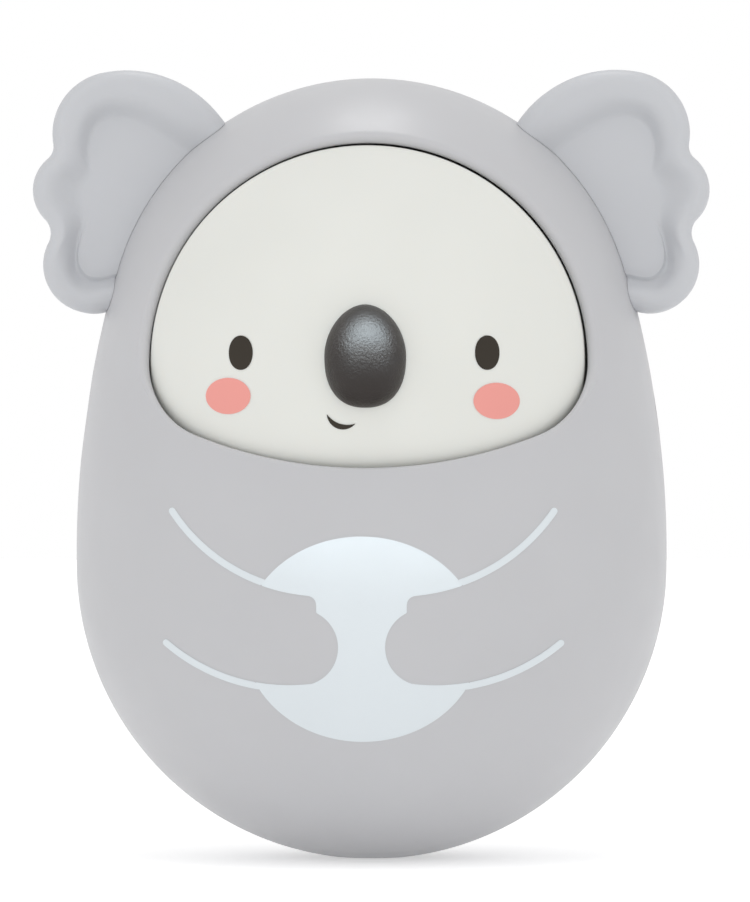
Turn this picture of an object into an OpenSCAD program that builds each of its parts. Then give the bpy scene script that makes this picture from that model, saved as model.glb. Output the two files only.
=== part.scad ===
// Koala roly poly: an egg-shaped moulded body with a rocking head, two ears and a chime.
// Millimetres. The origin is the middle of the small flat under the base.
// Z is up and the face looks along -Y.

/* [Body] */
// Height of the body from the floor to the crown
body_h = 129.4; // [127:0.2:140]
// Radius of the round base
base_r = 49; // [48:0.5:53]
// Radius of the crown over the head
crown_r = 44; // [43:0.5:46]
// Radius of the flank arc between base and crown
flank_r = 168; // [140:1:240]
// Wall thickness of the body shells
wall = 2.4; // [2:0.1:2.8]
// Width of the small flat under the base
flat_d = 10; // [6:0.5:14]

/* [Hood opening] */
// Width of the hood beside the opening
hood_w = 8.4; // [8:0.1:9]
// Distance of the brow arc's centre below the crown's centre
brow_drop = 3.6; // [3:0.1:4.4]
// Radius of the two cheek corners of the opening
cheek_r = 12.6; // [11:0.1:14]
// Distance of the chin edge below the crown's centre
chin_drop = 20.6; // [20:0.1:22]

/* [Head] */
// Distance of the head centre in front of the seam
head_fwd = 12; // [11:0.5:12.5]
// Distance that the head reaches past the sides of the opening
head_cover = 1.1; // [0.8:0.1:1.2]
// Wall thickness of the head
head_wall = 2; // [1.6:0.1:2.4]
// Depth of the face's parting plane in front of the head centre
face_part = 2; // [1:0.5:6]
// Distance of the head's flat back behind the head centre
head_back_y = 18; // [16:0.5:20]
// Angle that the head rocks to each side
rock_angle = 15; // [8:1:18]
// Diameter of the head pivot pin
pivot_d = 4; // [3:0.5:5]
// Radius of the circle that the rock stop moves on
stop_ring_r = 16; // [15:0.5:17]
// Diameter of the rock stop
stop_d = 5; // [4:0.5:6]
// Radius of the circle of the head screws
head_screw_ring_r = 25; // [24:0.5:26]
// Diameter of the head counterweight
head_weight_d = 16; // [12:0.5:17]
// Length of the head counterweight
head_weight_l = 12; // [8:0.5:14]

/* [Nose] */
// Width of the nose
nose_w = 13.1; // [11:0.1:16]
// Height of the nose
nose_h = 16.5; // [14:0.1:19]
// Distance that the nose stands out from the face
nose_out = 5.2; // [3:0.1:6]
// Distance of the nose's middle below the crown's centre
nose_drop = 2.8; // [0:0.1:5]

/* [Ears] */
// Radius of the long arc over the ear
ear_back_r = 19.5; // [18:0.5:21]
// Radius of the top lobe
ear_top_r = 10.3; // [9:0.1:12]
// Radius of the middle lobe
ear_mid_r = 6.8; // [6.4:0.1:7.6]
// Radius of the low lobe
ear_low_r = 8; // [7.2:0.1:8.8]
// Radius of the notch between top and middle lobes
ear_notch_top_r = 2.6; // [2:0.1:4]
// Radius of the notch between middle and low lobes
ear_notch_low_r = 3.3; // [2.4:0.1:5]
// Distance of the ear's rim in front of the seam
ear_front = 9; // [8:0.5:11]
// Distance of the ear's back behind the seam
ear_rear = 3; // [2.8:0.1:6]
// Depth of the dish inside the rim
ear_dish = 2.6; // [1:0.1:3.5]
// Thickness of the ear's neck in the seam
ear_neck_t = 5; // [4:0.2:5.4]

/* [Prints] */
// Half width of the belly print
belly_w = 18.9; // [16:0.1:21]
// Half height of the belly print
belly_h = 16.5; // [15:0.1:18]
// Height of the belly print's middle
belly_z = 37.4; // [36:0.1:41]
// Line width of the printed arms
arm_line = 1.1; // [0.8:0.1:1.6]
// Width of an eye
eye_w = 3.9; // [3:0.1:5]
// Height of an eye
eye_h = 5.5; // [4:0.1:7]
// Distance of an eye from the middle
eye_x = 19.7; // [17:0.1:21]
// Width of a cheek
cheek_w = 7.4; // [5:0.1:8]
// Height of a cheek
cheek_h = 5.8; // [4:0.1:6]
// Distance of a cheek from the middle
cheek_x = 21.5; // [19:0.1:22.5]
// Distance that the eyes sit to the right of the middle, and half that of the other prints
print_dx = -0.3; // [-0.6:0.1:0.6]
// Thickness of a print
print_t = 0.1; // [0.06:0.01:0.2]

/* [Weight and tray] */
// Height of the base weight's flat top
weight_top = 16; // [13:0.5:17]
// Thickness of the weight tray
tray_t = 2.5; // [2:0.1:3]
// Radius of the circle of the base screws
base_screw_ring_r = 22; // [21:0.5:23]

/* [Chime] */
// Radius of the clapper ball
clapper_r = 3.6; // [3:0.1:4]
// Diameter of a chime rod
rod_d = 3; // [2.4:0.1:3.2]
// Angle that the clapper swings sideways
clapper_angle = 15; // [10:1:17]
// Height of the shortest chime rod above its plate
rod_l = 12; // [10:0.5:13]
// Step in height from rod to rod
rod_step = 1.5; // [0.5:0.1:1.6]
// Diameter of the chime pins
chime_pin_d = 1.6; // [1.2:0.1:2]

/* [Fasteners] */
// Diameter of a screw shank
screw_d = 2.9; // [2.5:0.1:3.1]
// Diameter of a screw head
screw_head_d = 5.5; // [5:0.1:5.8]
// Height of a screw head
screw_head_h = 2; // [1.6:0.1:2.4]
// Height of the upper screw towers
upper_tower_z = 56; // [54:1:58]
// Height of the lower screw towers
lower_tower_z = 27; // [26:0.5:30]

/* [Fits] */
// Radial clearance of a running fit
run_fit = 0.05; // [0.03:0.01:0.08]
// Radial clearance of a seated fit
seat_fit = 0.03; // [0.02:0.01:0.05]
// Radial clearance of a screw in a plain hole
screw_play = 0.25; // [0.2:0.05:0.4]

/* [Hidden] */
$fn = 96;
far = 200;
deep = 70;
// The egg is drawn a hair taller than round, so that one smooth surface takes in its three arcs
egg_stretch = 1.0001;

// Egg outline: base, flank and crown arcs that run into each other
flat_sag = base_r - sqrt(base_r * base_r - flat_d * flat_d / 4);
base_z = base_r - flat_sag;
crown_z = body_h - crown_r;
egg_rise = crown_z - base_z;
flank_to_base = flank_r - base_r;
flank_to_crown = flank_r - crown_r;
flank_up = (flank_to_base * flank_to_base - flank_to_crown * flank_to_crown
    + egg_rise * egg_rise) / (2 * egg_rise);
flank_x = -sqrt(flank_to_base * flank_to_base - flank_up * flank_up);
flank_z = base_z + flank_up;
base_ray = [-flank_x, base_z - flank_z] / flank_to_base;
crown_ray = [-flank_x, crown_z - flank_z] / flank_to_crown;

// Half width of the egg at a height, for the outside or for a parallel surface
function egg_x(z, grow) =
    z < base_z + base_r * base_ray[1]
        ? sqrt(pow(base_r + grow, 2) - pow(z - base_z, 2))
        : z < crown_z + crown_r * crown_ray[1]
            ? flank_x + sqrt(pow(flank_r + grow, 2) - pow(z - flank_z, 2))
            : sqrt(pow(crown_r + grow, 2) - pow(z - crown_z, 2));

// Hood opening
brow_r = crown_r - hood_w;
brow_z = crown_z - brow_drop;
cheek_off = brow_r - cheek_r;
chin_depth = chin_drop - brow_drop;
chin_r = (cheek_off * cheek_off + chin_depth * chin_depth - cheek_r * cheek_r)
    / (2 * (chin_depth - cheek_r));
chin_z = brow_z - chin_depth + chin_r;

// Head: a ball whose pivot line runs through the middle of the brow arc
head_z = brow_z;
head_r = brow_r + head_cover;

// Screw sizes that several pieces share
pilot_d = screw_d + 2 * seat_fit;
clear_d = screw_d + 2 * screw_play;
sink_d = screw_head_d + 1;

// Body screws
tower_r = sink_d / 2 + 1.5;
post_r = 4;
tower_seat = 8;
body_screw_l = 16;
upper_tower_x = egg_x(upper_tower_z, -wall) - tower_r - 2.8;
lower_tower_x = egg_x(lower_tower_z, -wall) - tower_r - 5.2;
towers = [
    [upper_tower_x, upper_tower_z], [-upper_tower_x, upper_tower_z],
    [lower_tower_x, lower_tower_z], [-lower_tower_x, lower_tower_z]
];

// Tongue that locks the two halves at the crown
tongue_w = 16;
tongue_reach = 4;
tongue_t = 0.9;

// Ears, in the plane of the seam, for the side of +X, placed from a point of the crown
ear_a = 57.5;
ear_base = [0, crown_z] + crown_r * [sin(ear_a), cos(ear_a)];
ear_back_c = ear_base + [3.35, 1.95];
ear_top_a = 77.7;
ear_top_c = ear_back_c + (ear_back_r - ear_top_r) * [cos(ear_top_a), sin(ear_top_a)];
ear_mid_c = ear_base + [12.05, 1.6];
ear_low_c = ear_base + [9.15, -10.7];
ear_root_low = ear_base + [-12.1, -8.65];
ear_root_top = ear_base + [-12.1, -0.65];
ear_root_r = 7;
ear_neck_half = 792 / crown_r;
ear_neck_a = [ear_a - ear_neck_half + 0.5, ear_a + ear_neck_half + 0.5];
ear_slot_r = crown_r - wall - 2.1;
ear_neck_out = 3;
ear_lock_t = 0.8;
ear_lock_w = ear_neck_t + 4;
ear_gap = 0.05;

// Middle of the fillet that touches two circles, on their outer side
function touch_c(a, ra, b, rb, r) =
    let (d = b - a, l = norm(d), p = ra + r, q = rb + r)
    let (s = (p * p - q * q + l * l) / (2 * l), h = sqrt(p * p - s * s))
    let (u = d / l)
    a + s * u + h * (u[1] < 0 ? [-u[1], u[0]] : [u[1], -u[0]]);
ear_notch_top_c = touch_c(ear_top_c, ear_top_r, ear_mid_c, ear_mid_r, ear_notch_top_r);
ear_notch_low_c = touch_c(ear_mid_c, ear_mid_r, ear_low_c, ear_low_r, ear_notch_low_r);

// Angle of a direction
function heading(v) = atan2(v[1], v[0]);
// Angle of a direction, between 0 and 360
function heading_up(v) = let (a = heading(v)) a < 0 ? a + 360 : a;

// Points along an arc, without its last one
function arc_points(c, r, from, to, n) =
    [for (i = [0:n - 1]) let (a = from + (to - from) * i / n) c + r * [cos(a), sin(a)]];

// The ear's outline moved inwards by a distance
function ear_ring(inset) = concat(
    arc_points(ear_back_c, ear_back_r - inset, 165, ear_top_a, 16),
    arc_points(ear_top_c, ear_top_r - inset, ear_top_a, heading(ear_notch_top_c - ear_top_c), 12),
    arc_points(ear_notch_top_c, ear_notch_top_r + inset,
        heading_up(ear_top_c - ear_notch_top_c), heading_up(ear_mid_c - ear_notch_top_c), 6),
    arc_points(ear_mid_c, ear_mid_r - inset,
        heading(ear_notch_top_c - ear_mid_c), heading(ear_notch_low_c - ear_mid_c), 10),
    arc_points(ear_notch_low_c, ear_notch_low_r + inset,
        heading_up(ear_mid_c - ear_notch_low_c), heading_up(ear_low_c - ear_notch_low_c), 6),
    arc_points(ear_low_c, ear_low_r - inset, heading(ear_notch_low_c - ear_low_c), -110, 14),
    arc_points(ear_root_low, ear_root_r - inset, -110, -180, 4),
    arc_points(ear_root_top, ear_root_r - inset, 180, 165, 4)
);

// A ring of points with its bumps evened out over a number of passes
function even_out(ring, passes) =
    passes == 0 ? ring
    : even_out([for (i = [0:len(ring) - 1])
        (ring[(i + len(ring) - 1) % len(ring)] + 2 * ring[i] + ring[(i + 1) % len(ring)]) / 4],
        passes - 1);

// Rings of the ear from the dish over the rim to the back: inset, depth and evening passes
ear_floor_y = ear_dish - ear_front;
ear_rings = [
    [5.9, ear_floor_y, 40], [5.2, ear_floor_y - 0.06 * ear_dish, 30],
    [4.5, ear_floor_y - 0.24 * ear_dish, 20], [3.9, ear_floor_y - 0.5 * ear_dish, 12],
    [3.3, ear_floor_y - 0.78 * ear_dish, 6], [2.7, ear_floor_y - 0.95 * ear_dish, 2],
    [2.1, -ear_front, 0], [1.4, -ear_front + 0.2, 0], [0.75, -ear_front + 0.75, 0],
    [0.25, -ear_front + 1.6, 0], [0, -ear_front + 2.8, 0], [0, ear_rear - 2, 0],
    [0.25, ear_rear - 1.1, 0], [0.8, ear_rear - 0.35, 0], [1.7, ear_rear, 0]
];

// Nose
nose_z = crown_z - nose_drop;
nose_stem_r = 3;
nose_pad_r = 6;
nose_pad_y = -(head_r - head_wall - 2.4);
nose_rim_y = -(head_r - 1.2);
nose_screw_l = 8;

// Head pivot
hub_r = 6;
hub_l = 13;
bush_wall = 1.4;
bush_flange_r = 5;
bush_flange_t = 1;
pivot_post_r = 6;
pivot_post_y = head_back_y + bush_flange_t + 0.3;
pivot_seat = 14;
washer_t = 1;
clip_t = 0.8;
hub_y = head_back_y - hub_l;
washer_y = hub_y - 0.3;
clip_y = washer_y - washer_t - 0.1;
pivot_tip_y = clip_y - clip_t - 1.4;
stop_slot_play = 0.4;

// Head screws and counterweight
head_screw_a = [90, 210, 330];
head_screw_seat = head_back_y - 7;
head_screw_l = 14;
head_tube_y = head_back_y - 12;
head_weight_drop = 14 + head_weight_d / 2;
head_weight_screw_l = 10;

// Weight and tray
inner_r = base_r - wall;
weight_gap = 0.3;
tray_top = weight_top + tray_t;
tray_rib_t = 2;
tray_rib_w = 3;
foot_t = 2.5;
base_screw_l = 10;

// Chime
plate_r = 11;
plate_hole_r = 5;
clapper_z = tray_top + 2.1 + clapper_r;
clapper_l = 8;
link_l = 5;
clapper_pin_z = clapper_z + clapper_l;
link_pin_z = clapper_pin_z + link_l;
clapper_reach = clapper_l * sin(clapper_angle);
rod_ring_r = clapper_r + clapper_reach + 0.25 + rod_d / 2;
link_w = 5.2;
link_d = 4.4;
fork_gap = 0.35;
fork_t = 1.2;
lug_gap = 0.4;
lug_t = 2.5;
bracket_w = 8;
bracket_x = 14;
bracket_t = 3;
bar_z = link_pin_z + link_d / 2 + 0.6;
rod_heights = [rod_l, rod_l + rod_step, rod_l + 2 * rod_step, rod_l + 3 * rod_step];

// Outline of the egg's right half, moved outwards by a distance
module egg_profile(grow) {
    scale([1, egg_stretch]) egg_arcs(grow);
}

// The three arcs of the egg's right half, moved outwards by a distance
module egg_arcs(grow) {
    base_far = [0, base_z] + far * base_ray;
    crown_far = [0, crown_z] + far * crown_ray;
    intersection() {
        translate([0, base_z]) circle(r = base_r + grow);
        polygon([[0, base_z], [0, -far], [far, -far], base_far]);
    }
    intersection() {
        translate([flank_x, flank_z]) circle(r = flank_r + grow);
        polygon([[0, base_z], base_far, crown_far, [0, crown_z]]);
    }
    intersection() {
        translate([0, crown_z]) circle(r = crown_r + grow);
        polygon([[0, crown_z], crown_far, [far, far], [0, far]]);
    }
}

// A thin band along the egg's outline between two distances from it
module egg_band(low, high) {
    base_far = [0, base_z] + far * base_ray;
    crown_far = [0, crown_z] + far * crown_ray;
    intersection() {
        translate([0, base_z]) difference() {
            circle(r = base_r + high);
            circle(r = base_r + low);
        }
        polygon([[0, base_z], [0, -far], [far, -far], base_far]);
    }
    intersection() {
        translate([flank_x, flank_z]) difference() {
            circle(r = flank_r + high);
            circle(r = flank_r + low);
        }
        polygon([[0, base_z], base_far, crown_far, [0, crown_z]]);
    }
}

// The whole egg, moved outwards by a distance
module egg(grow) {
    rotate([0, 0, 90]) rotate_extrude() egg_profile(grow);
}

// A layer that follows the egg between two distances from its surface
module egg_layer(low, high) {
    difference() {
        egg(high);
        egg(low);
    }
}

// The rear half of the hollow egg with its small flat
module half_shell() {
    rotate_extrude(angle = 180) difference() {
        intersection() {
            egg_profile(0);
            square([far, far]);
        }
        egg_profile(-wall);
    }
}

// A flat shape drawn in X and Z, standing from one depth to another
module standing(from, to) {
    translate([0, to, 0]) rotate([90, 0, 0]) linear_extrude(height = to - from) children();
}

// A round rod along Y at a point of the X-Z plane
module rod_y(x, z, r, from, to) {
    translate([x, to, z]) rotate([90, 0, 0]) cylinder(r = r, h = to - from);
}

// A ball about the head centre, before the head is moved forward
module head_ball(r) {
    translate([0, 0, head_z]) sphere(r = r);
}

// Moves the head's pieces from the seam to their place under the opening
module forward() {
    translate([0, -head_fwd, 0]) children();
}

// Everything between two depths
module depth_band(from, to) {
    translate([-far, from, -far]) cube([2 * far, to - from, 2 * far]);
}

// Outline of the hood opening
module opening() {
    left_c = [-cheek_off, brow_z];
    right_c = [cheek_off, brow_z];
    chin_c = [0, chin_z];
    right_far = right_c + far * (right_c - chin_c) / norm(right_c - chin_c);
    left_far = left_c + far * (left_c - chin_c) / norm(left_c - chin_c);
    intersection() {
        translate([0, brow_z]) circle(r = brow_r);
        translate([-far, brow_z]) square([2 * far, far]);
    }
    intersection() {
        translate(right_c) circle(r = cheek_r);
        polygon([right_c, right_far, [far, right_far[1]], [far, brow_z]]);
    }
    intersection() {
        translate(left_c) circle(r = cheek_r);
        polygon([left_c, [-far, brow_z], [-far, left_far[1]], left_far]);
    }
    intersection() {
        translate(chin_c) circle(r = chin_r);
        polygon([left_c, left_far, right_far, right_c]);
    }
}

// Sector about the crown's centre between two angles from upright, on the side of +X
module ear_sector(from, to, low, high) {
    polygon([
        [low * sin(from), crown_z + low * cos(from)], [high * sin(from), crown_z + high * cos(from)],
        [high * sin((from + to) / 2), crown_z + 1.06 * high * cos((from + to) / 2)],
        [high * sin(to), crown_z + high * cos(to)], [low * sin(to), crown_z + low * cos(to)]
    ]);
}

// Slots for the ear necks on both sides
module ear_slots() {
    for (side = [0, 1]) mirror([side, 0, 0])
        standing(-ear_neck_t / 2 - seat_fit, ear_neck_t / 2 + seat_fit)
            ear_sector(ear_neck_a[0] - 0.1, ear_neck_a[1] + 0.1, ear_slot_r, crown_r + 8);
}

// Ring on the inside of the shells that holds the weight tray down
module tray_rib() {
    rotate_extrude(angle = 180) intersection() {
        egg_profile(-wall / 2);
        translate([egg_x(tray_top, -wall) - tray_rib_w, tray_top + 0.1])
            square([far, tray_rib_t]);
    }
}

module front_shell() {
    color([0.78, 0.78, 0.79]) difference() {
        union() {
            rotate([0, 0, 180]) half_shell();
            rotate([0, 0, 180]) tray_rib();
            intersection() {
                union() for (t = towers) rod_y(t[0], t[1], post_r, -far, 0);
                egg(-wall / 2);
            }
            intersection() {
                egg_layer(-wall - tongue_t, -wall / 2);
                translate([-tongue_w / 2, -5, crown_z]) cube([tongue_w, 5, far]);
            }
            intersection() {
                egg_layer(-wall - tongue_t, -wall - 0.1);
                translate([-tongue_w / 2, -2, crown_z]) cube([tongue_w, 2 + tongue_reach, far]);
            }
        }
        standing(-deep, -1) opening();
        for (t = towers) rod_y(t[0], t[1], pilot_d / 2, tower_seat - body_screw_l - 2, 1);
        ear_slots();
    }
}

module rear_shell() {
    color([0.78, 0.78, 0.79]) difference() {
        union() {
            half_shell();
            tray_rib();
            intersection() {
                union() {
                    for (t = towers) rod_y(t[0], t[1], tower_r, 0, far);
                    forward() {
                        rod_y(0, head_z, pivot_post_r, pivot_post_y, far);
                        rod_y(0, head_z + stop_ring_r, stop_d / 2, head_back_y - 3.5, far);
                        translate([-16, head_back_y + 5, head_z - 1]) cube([32, far, 2]);
                    }
                }
                egg(-wall / 2);
            }
        }
        for (t = towers) {
            rod_y(t[0], t[1], clear_d / 2, -1, tower_seat + 1);
            rod_y(t[0], t[1], sink_d / 2, tower_seat, far);
        }
        forward()
            rod_y(0, head_z, pivot_d / 2 + seat_fit, pivot_post_y - 1, pivot_post_y + pivot_seat);
        ear_slots();
    }
}

// Solid of an ear from its rings, before it is fitted to the body
module ear_block() {
    rings = [for (e = ear_rings) [for (p = even_out(ear_ring(e[0]), e[2])) [p[0], e[1], p[1]]]];
    n = len(rings[0]);
    m = len(rings);
    middle = ear_base + [3, -1.6];
    points = concat([[middle[0], ear_floor_y, middle[1]]],
        [for (r = rings) for (p = r) p],
        [[middle[0], ear_rear, middle[1]]]);
    polyhedron(points, concat(
        [for (i = [0:n - 1]) [0, 1 + (i + 1) % n, 1 + i]],
        [for (k = [0:m - 2]) for (i = [0:n - 1])
            [1 + k * n + i, 1 + k * n + (i + 1) % n, 1 + (k + 1) * n + (i + 1) % n]],
        [for (k = [0:m - 2]) for (i = [0:n - 1])
            [1 + k * n + i, 1 + (k + 1) * n + (i + 1) % n, 1 + (k + 1) * n + i]],
        [for (i = [0:n - 1]) [1 + m * n, 1 + (m - 1) * n + i, 1 + (m - 1) * n + (i + 1) % n]]
    ), convexity = 6);
}

// Neck in the seam and lock inside the shells, which hold the ear
module ear_root() {
    intersection() {
        egg_layer(-wall - seat_fit - ear_lock_t, ear_neck_out);
        standing(-ear_neck_t / 2, ear_neck_t / 2)
            ear_sector(ear_neck_a[0], ear_neck_a[1], ear_slot_r - 2, crown_r + 8);
    }
    intersection() {
        egg_layer(-wall - seat_fit - ear_lock_t, -wall - seat_fit);
        standing(-ear_lock_w / 2, ear_rear - 0.2)
            ear_sector(ear_neck_a[0] + 1, ear_neck_a[1] - 1, ear_slot_r - 2, crown_r + 8);
    }
}

// One ear on the side of +X: the block without what lies in the egg, save for its root
module ear() {
    difference() {
        ear_block();
        difference() {
            egg(ear_gap);
            ear_root();
        }
    }
}

module right_ear() {
    color([0.77, 0.78, 0.8]) ear();
}

module left_ear() {
    color([0.77, 0.78, 0.8]) mirror([1, 0, 0]) ear();
}

// A pan-head screw along Y: the head sits behind the seat and the shank points forwards
module screw_y(x, z, seat, l) {
    rod_y(x, z, screw_d / 2, seat - l, seat + screw_head_h / 2);
    rod_y(x, z, screw_head_d / 2, seat, seat + screw_head_h);
}

module body_screws() {
    color([0.62, 0.62, 0.63]) for (t = towers) screw_y(t[0], t[1], tower_seat, body_screw_l);
}

// Middles of the head screws in X and Z
function head_screw_at(a) = [head_screw_ring_r * cos(a), head_z + head_screw_ring_r * sin(a)];

module face_shell() {
    color([0.9, 0.9, 0.88]) forward() difference() {
        union() {
            intersection() {
                difference() {
                    head_ball(head_r);
                    head_ball(head_r - head_wall);
                }
                depth_band(-far, -face_part);
            }
            intersection() {
                union() {
                    for (a = head_screw_a)
                        rod_y(head_screw_at(a)[0], head_screw_at(a)[1], 3.2, -far, head_tube_y);
                    rod_y(0, nose_z, nose_pad_r, -far, nose_pad_y);
                }
                head_ball(head_r - head_wall / 2);
            }
        }
        for (a = head_screw_a)
            rod_y(head_screw_at(a)[0], head_screw_at(a)[1], pilot_d / 2,
                head_screw_seat - head_screw_l - 1, head_tube_y + 1);
        rod_y(0, nose_z, nose_stem_r + seat_fit, -far, 0);
    }
}

// A profile drawn as radius and depth, turned about the head's pivot line
module turned() {
    translate([0, 0, head_z]) rotate([-90, 0, 0]) rotate_extrude() children();
}

module head_back() {
    spigot_r = sqrt(pow(head_r - head_wall, 2) - pow(face_part + 2.5, 2)) - 0.1;
    bore_r = pivot_d / 2 + run_fit + bush_wall + seat_fit;
    color([0.9, 0.9, 0.88]) forward() difference() {
        union() {
            turned() difference() {
                union() {
                    difference() {
                        intersection() {
                            circle(r = head_r);
                            translate([0, -face_part]) square([far, head_back_y + face_part]);
                        }
                        intersection() {
                            circle(r = head_r - head_wall);
                            translate([0, -far]) square([far, far + head_back_y - 2]);
                        }
                    }
                    translate([spigot_r - 1.4, -face_part - 2.5]) square([1.4, face_part + 3.5]);
                    translate([spigot_r - 1.4, -face_part])
                        square([head_r - head_wall / 2 - spigot_r + 1.4, face_part + 1]);
                    translate([0, hub_y]) square([hub_r, hub_l - 1]);
                }
                translate([-1, -far]) square([bore_r + 1, 2 * far]);
            }
            for (a = head_screw_a)
                rod_y(head_screw_at(a)[0], head_screw_at(a)[1], sink_d / 2 + 1,
                    head_tube_y, head_back_y - 1);
        }
        for (a = head_screw_a) {
            rod_y(head_screw_at(a)[0], head_screw_at(a)[1], clear_d / 2, -far, head_back_y + 1);
            rod_y(head_screw_at(a)[0], head_screw_at(a)[1], sink_d / 2, head_screw_seat, far);
        }
        rod_y(0, head_z - head_weight_drop, clear_d / 2, 0, far);
        standing(head_back_y - 4, head_back_y + 1) stop_slot();
    }
}

// Curved slot in the head's back for the rock stop
module stop_slot() {
    slot_w = stop_d + 2 * stop_slot_play;
    reach = rock_angle + 1;
    translate([0, head_z]) {
        intersection() {
            difference() {
                circle(r = stop_ring_r + slot_w / 2);
                circle(r = stop_ring_r - slot_w / 2);
            }
            polygon([[0, 0], far * [sin(reach), cos(reach)], [0, 2 * far],
                far * [-sin(reach), cos(reach)]]);
        }
        for (side = [-1, 1])
            translate(stop_ring_r * [side * sin(reach), cos(reach)]) circle(d = slot_w);
    }
}

module head_screws() {
    color([0.62, 0.62, 0.63]) forward() for (a = head_screw_a)
        screw_y(head_screw_at(a)[0], head_screw_at(a)[1], head_screw_seat, head_screw_l);
}

// Outline of the nose as a part of its full width and height
function nose_ring(size) = [for (i = [0:47])
    let (a = i * 7.5, n = 2 / (sin(a) > 0 ? 2.15 : 2.45))
    [size * nose_w / 2 * sign(cos(a)) * pow(abs(cos(a)), n),
     size * nose_h / 2 * sign(sin(a)) * pow(abs(sin(a)), n)]];

// Dome of the nose, before it is fitted to the face
module nose_block() {
    swell = head_r + nose_out + nose_rim_y;
    steps = concat([[1, -nose_rim_y - 6], [1, -nose_rim_y]],
        [for (k = [1:9]) [cos(k * 9), -nose_rim_y + swell * sin(k * 9)]]);
    points = concat([for (s = steps) for (p = nose_ring(s[0])) [p[0], -s[1], nose_z + p[1]]],
        [[0, nose_rim_y - swell, nose_z], [0, nose_rim_y + 6, nose_z]]);
    n = 48;
    m = len(steps);
    polyhedron(points, concat(
        [for (k = [0:m - 2]) for (i = [0:n - 1])
            [k * n + i, (k + 1) * n + i, (k + 1) * n + (i + 1) % n]],
        [for (k = [0:m - 2]) for (i = [0:n - 1])
            [k * n + i, (k + 1) * n + (i + 1) % n, k * n + (i + 1) % n]],
        [for (i = [0:n - 1]) [(m - 1) * n + i, m * n, (m - 1) * n + (i + 1) % n]],
        [for (i = [0:n - 1]) [i, (i + 1) % n, m * n + 1]]
    ), convexity = 4);
}

module nose() {
    color([0.06, 0.06, 0.06]) forward() difference() {
        union() {
            difference() {
                nose_block();
                head_ball(head_r + seat_fit);
            }
            rod_y(0, nose_z, nose_stem_r, -head_r - 1, nose_pad_y - 0.2);
        }
        rod_y(0, nose_z, pilot_d / 2, nose_pad_y - nose_screw_l - 1, nose_pad_y + 1);
    }
}

module nose_screw() {
    color([0.62, 0.62, 0.63]) forward() {
        screw_y(0, nose_z, nose_pad_y, nose_screw_l);
        difference() {
            rod_y(0, nose_z, nose_pad_r - 0.8, nose_pad_y, nose_pad_y + 0.8);
            rod_y(0, nose_z, screw_d / 2 - 0.2, nose_pad_y - 1, nose_pad_y + 2);
        }
    }
}

module head_weight() {
    color([0.5, 0.5, 0.51]) forward() difference() {
        rod_y(0, head_z - head_weight_drop, head_weight_d / 2,
            head_back_y - 2 - head_weight_l, head_back_y - 2);
        rod_y(0, head_z - head_weight_drop, pilot_d / 2,
            head_back_y - head_weight_screw_l - 1, far);
    }
}

module head_weight_screw() {
    color([0.62, 0.62, 0.63]) forward()
        screw_y(0, head_z - head_weight_drop, head_back_y, head_weight_screw_l);
}

module pivot_pin() {
    color([0.7, 0.7, 0.71]) forward() difference() {
        rod_y(0, head_z, pivot_d / 2, pivot_tip_y, pivot_post_y + pivot_seat - 0.5);
        difference() {
            rod_y(0, head_z, pivot_d, clip_y - clip_t - seat_fit, clip_y + seat_fit);
            rod_y(0, head_z, pivot_d / 2 - 0.4, -far, far);
        }
    }
}

module pivot_bush() {
    color([0.93, 0.92, 0.88]) forward() difference() {
        union() {
            rod_y(0, head_z, pivot_d / 2 + run_fit + bush_wall, hub_y, head_back_y + 0.5);
            rod_y(0, head_z, bush_flange_r, head_back_y, head_back_y + bush_flange_t);
        }
        rod_y(0, head_z, pivot_d / 2 + run_fit, -far, far);
    }
}

module pivot_washer() {
    color([0.7, 0.7, 0.71]) forward() difference() {
        rod_y(0, head_z, 5, washer_y - washer_t, washer_y);
        rod_y(0, head_z, pivot_d / 2 + run_fit, -far, far);
    }
}

module pivot_clip() {
    color([0.3, 0.3, 0.31]) forward() difference() {
        rod_y(0, head_z, pivot_d / 2 + 1.8, clip_y - clip_t, clip_y);
        rod_y(0, head_z, pivot_d / 2 - 0.4 + seat_fit, -far, far);
        translate([-1.1, -far, head_z - far]) cube([2.2, 2 * far, far]);
    }
}

// Middles of the base screws
base_screw_at = [for (a = [0, 90, 180, 270]) base_screw_ring_r * [cos(a), sin(a)]];

// Flat-sided zone of the ball inside the base
module base_zone(low, high) {
    intersection() {
        translate([0, 0, base_z]) sphere(r = inner_r - weight_gap);
        translate([-far, -far, low]) cube([2 * far, 2 * far, high - low]);
    }
}

module base_weight() {
    color([0.25, 0.25, 0.26]) difference() {
        base_zone(-far, weight_top);
        for (p = base_screw_at) translate([p[0], p[1], tray_top + foot_t - base_screw_l - 1])
            cylinder(d = pilot_d, h = far);
    }
}

module weight_tray() {
    color([0.86, 0.85, 0.8]) difference() {
        base_zone(weight_top, tray_top);
        for (p = base_screw_at) translate([p[0], p[1], 0]) cylinder(d = clear_d, h = far);
    }
}

module base_screws() {
    color([0.62, 0.62, 0.63]) for (p = base_screw_at) translate([p[0], p[1], tray_top + foot_t]) {
        translate([0, 0, -base_screw_l]) cylinder(d = screw_d, h = base_screw_l + screw_head_h / 2);
        cylinder(d = screw_head_d, h = screw_head_h);
    }
}

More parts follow.
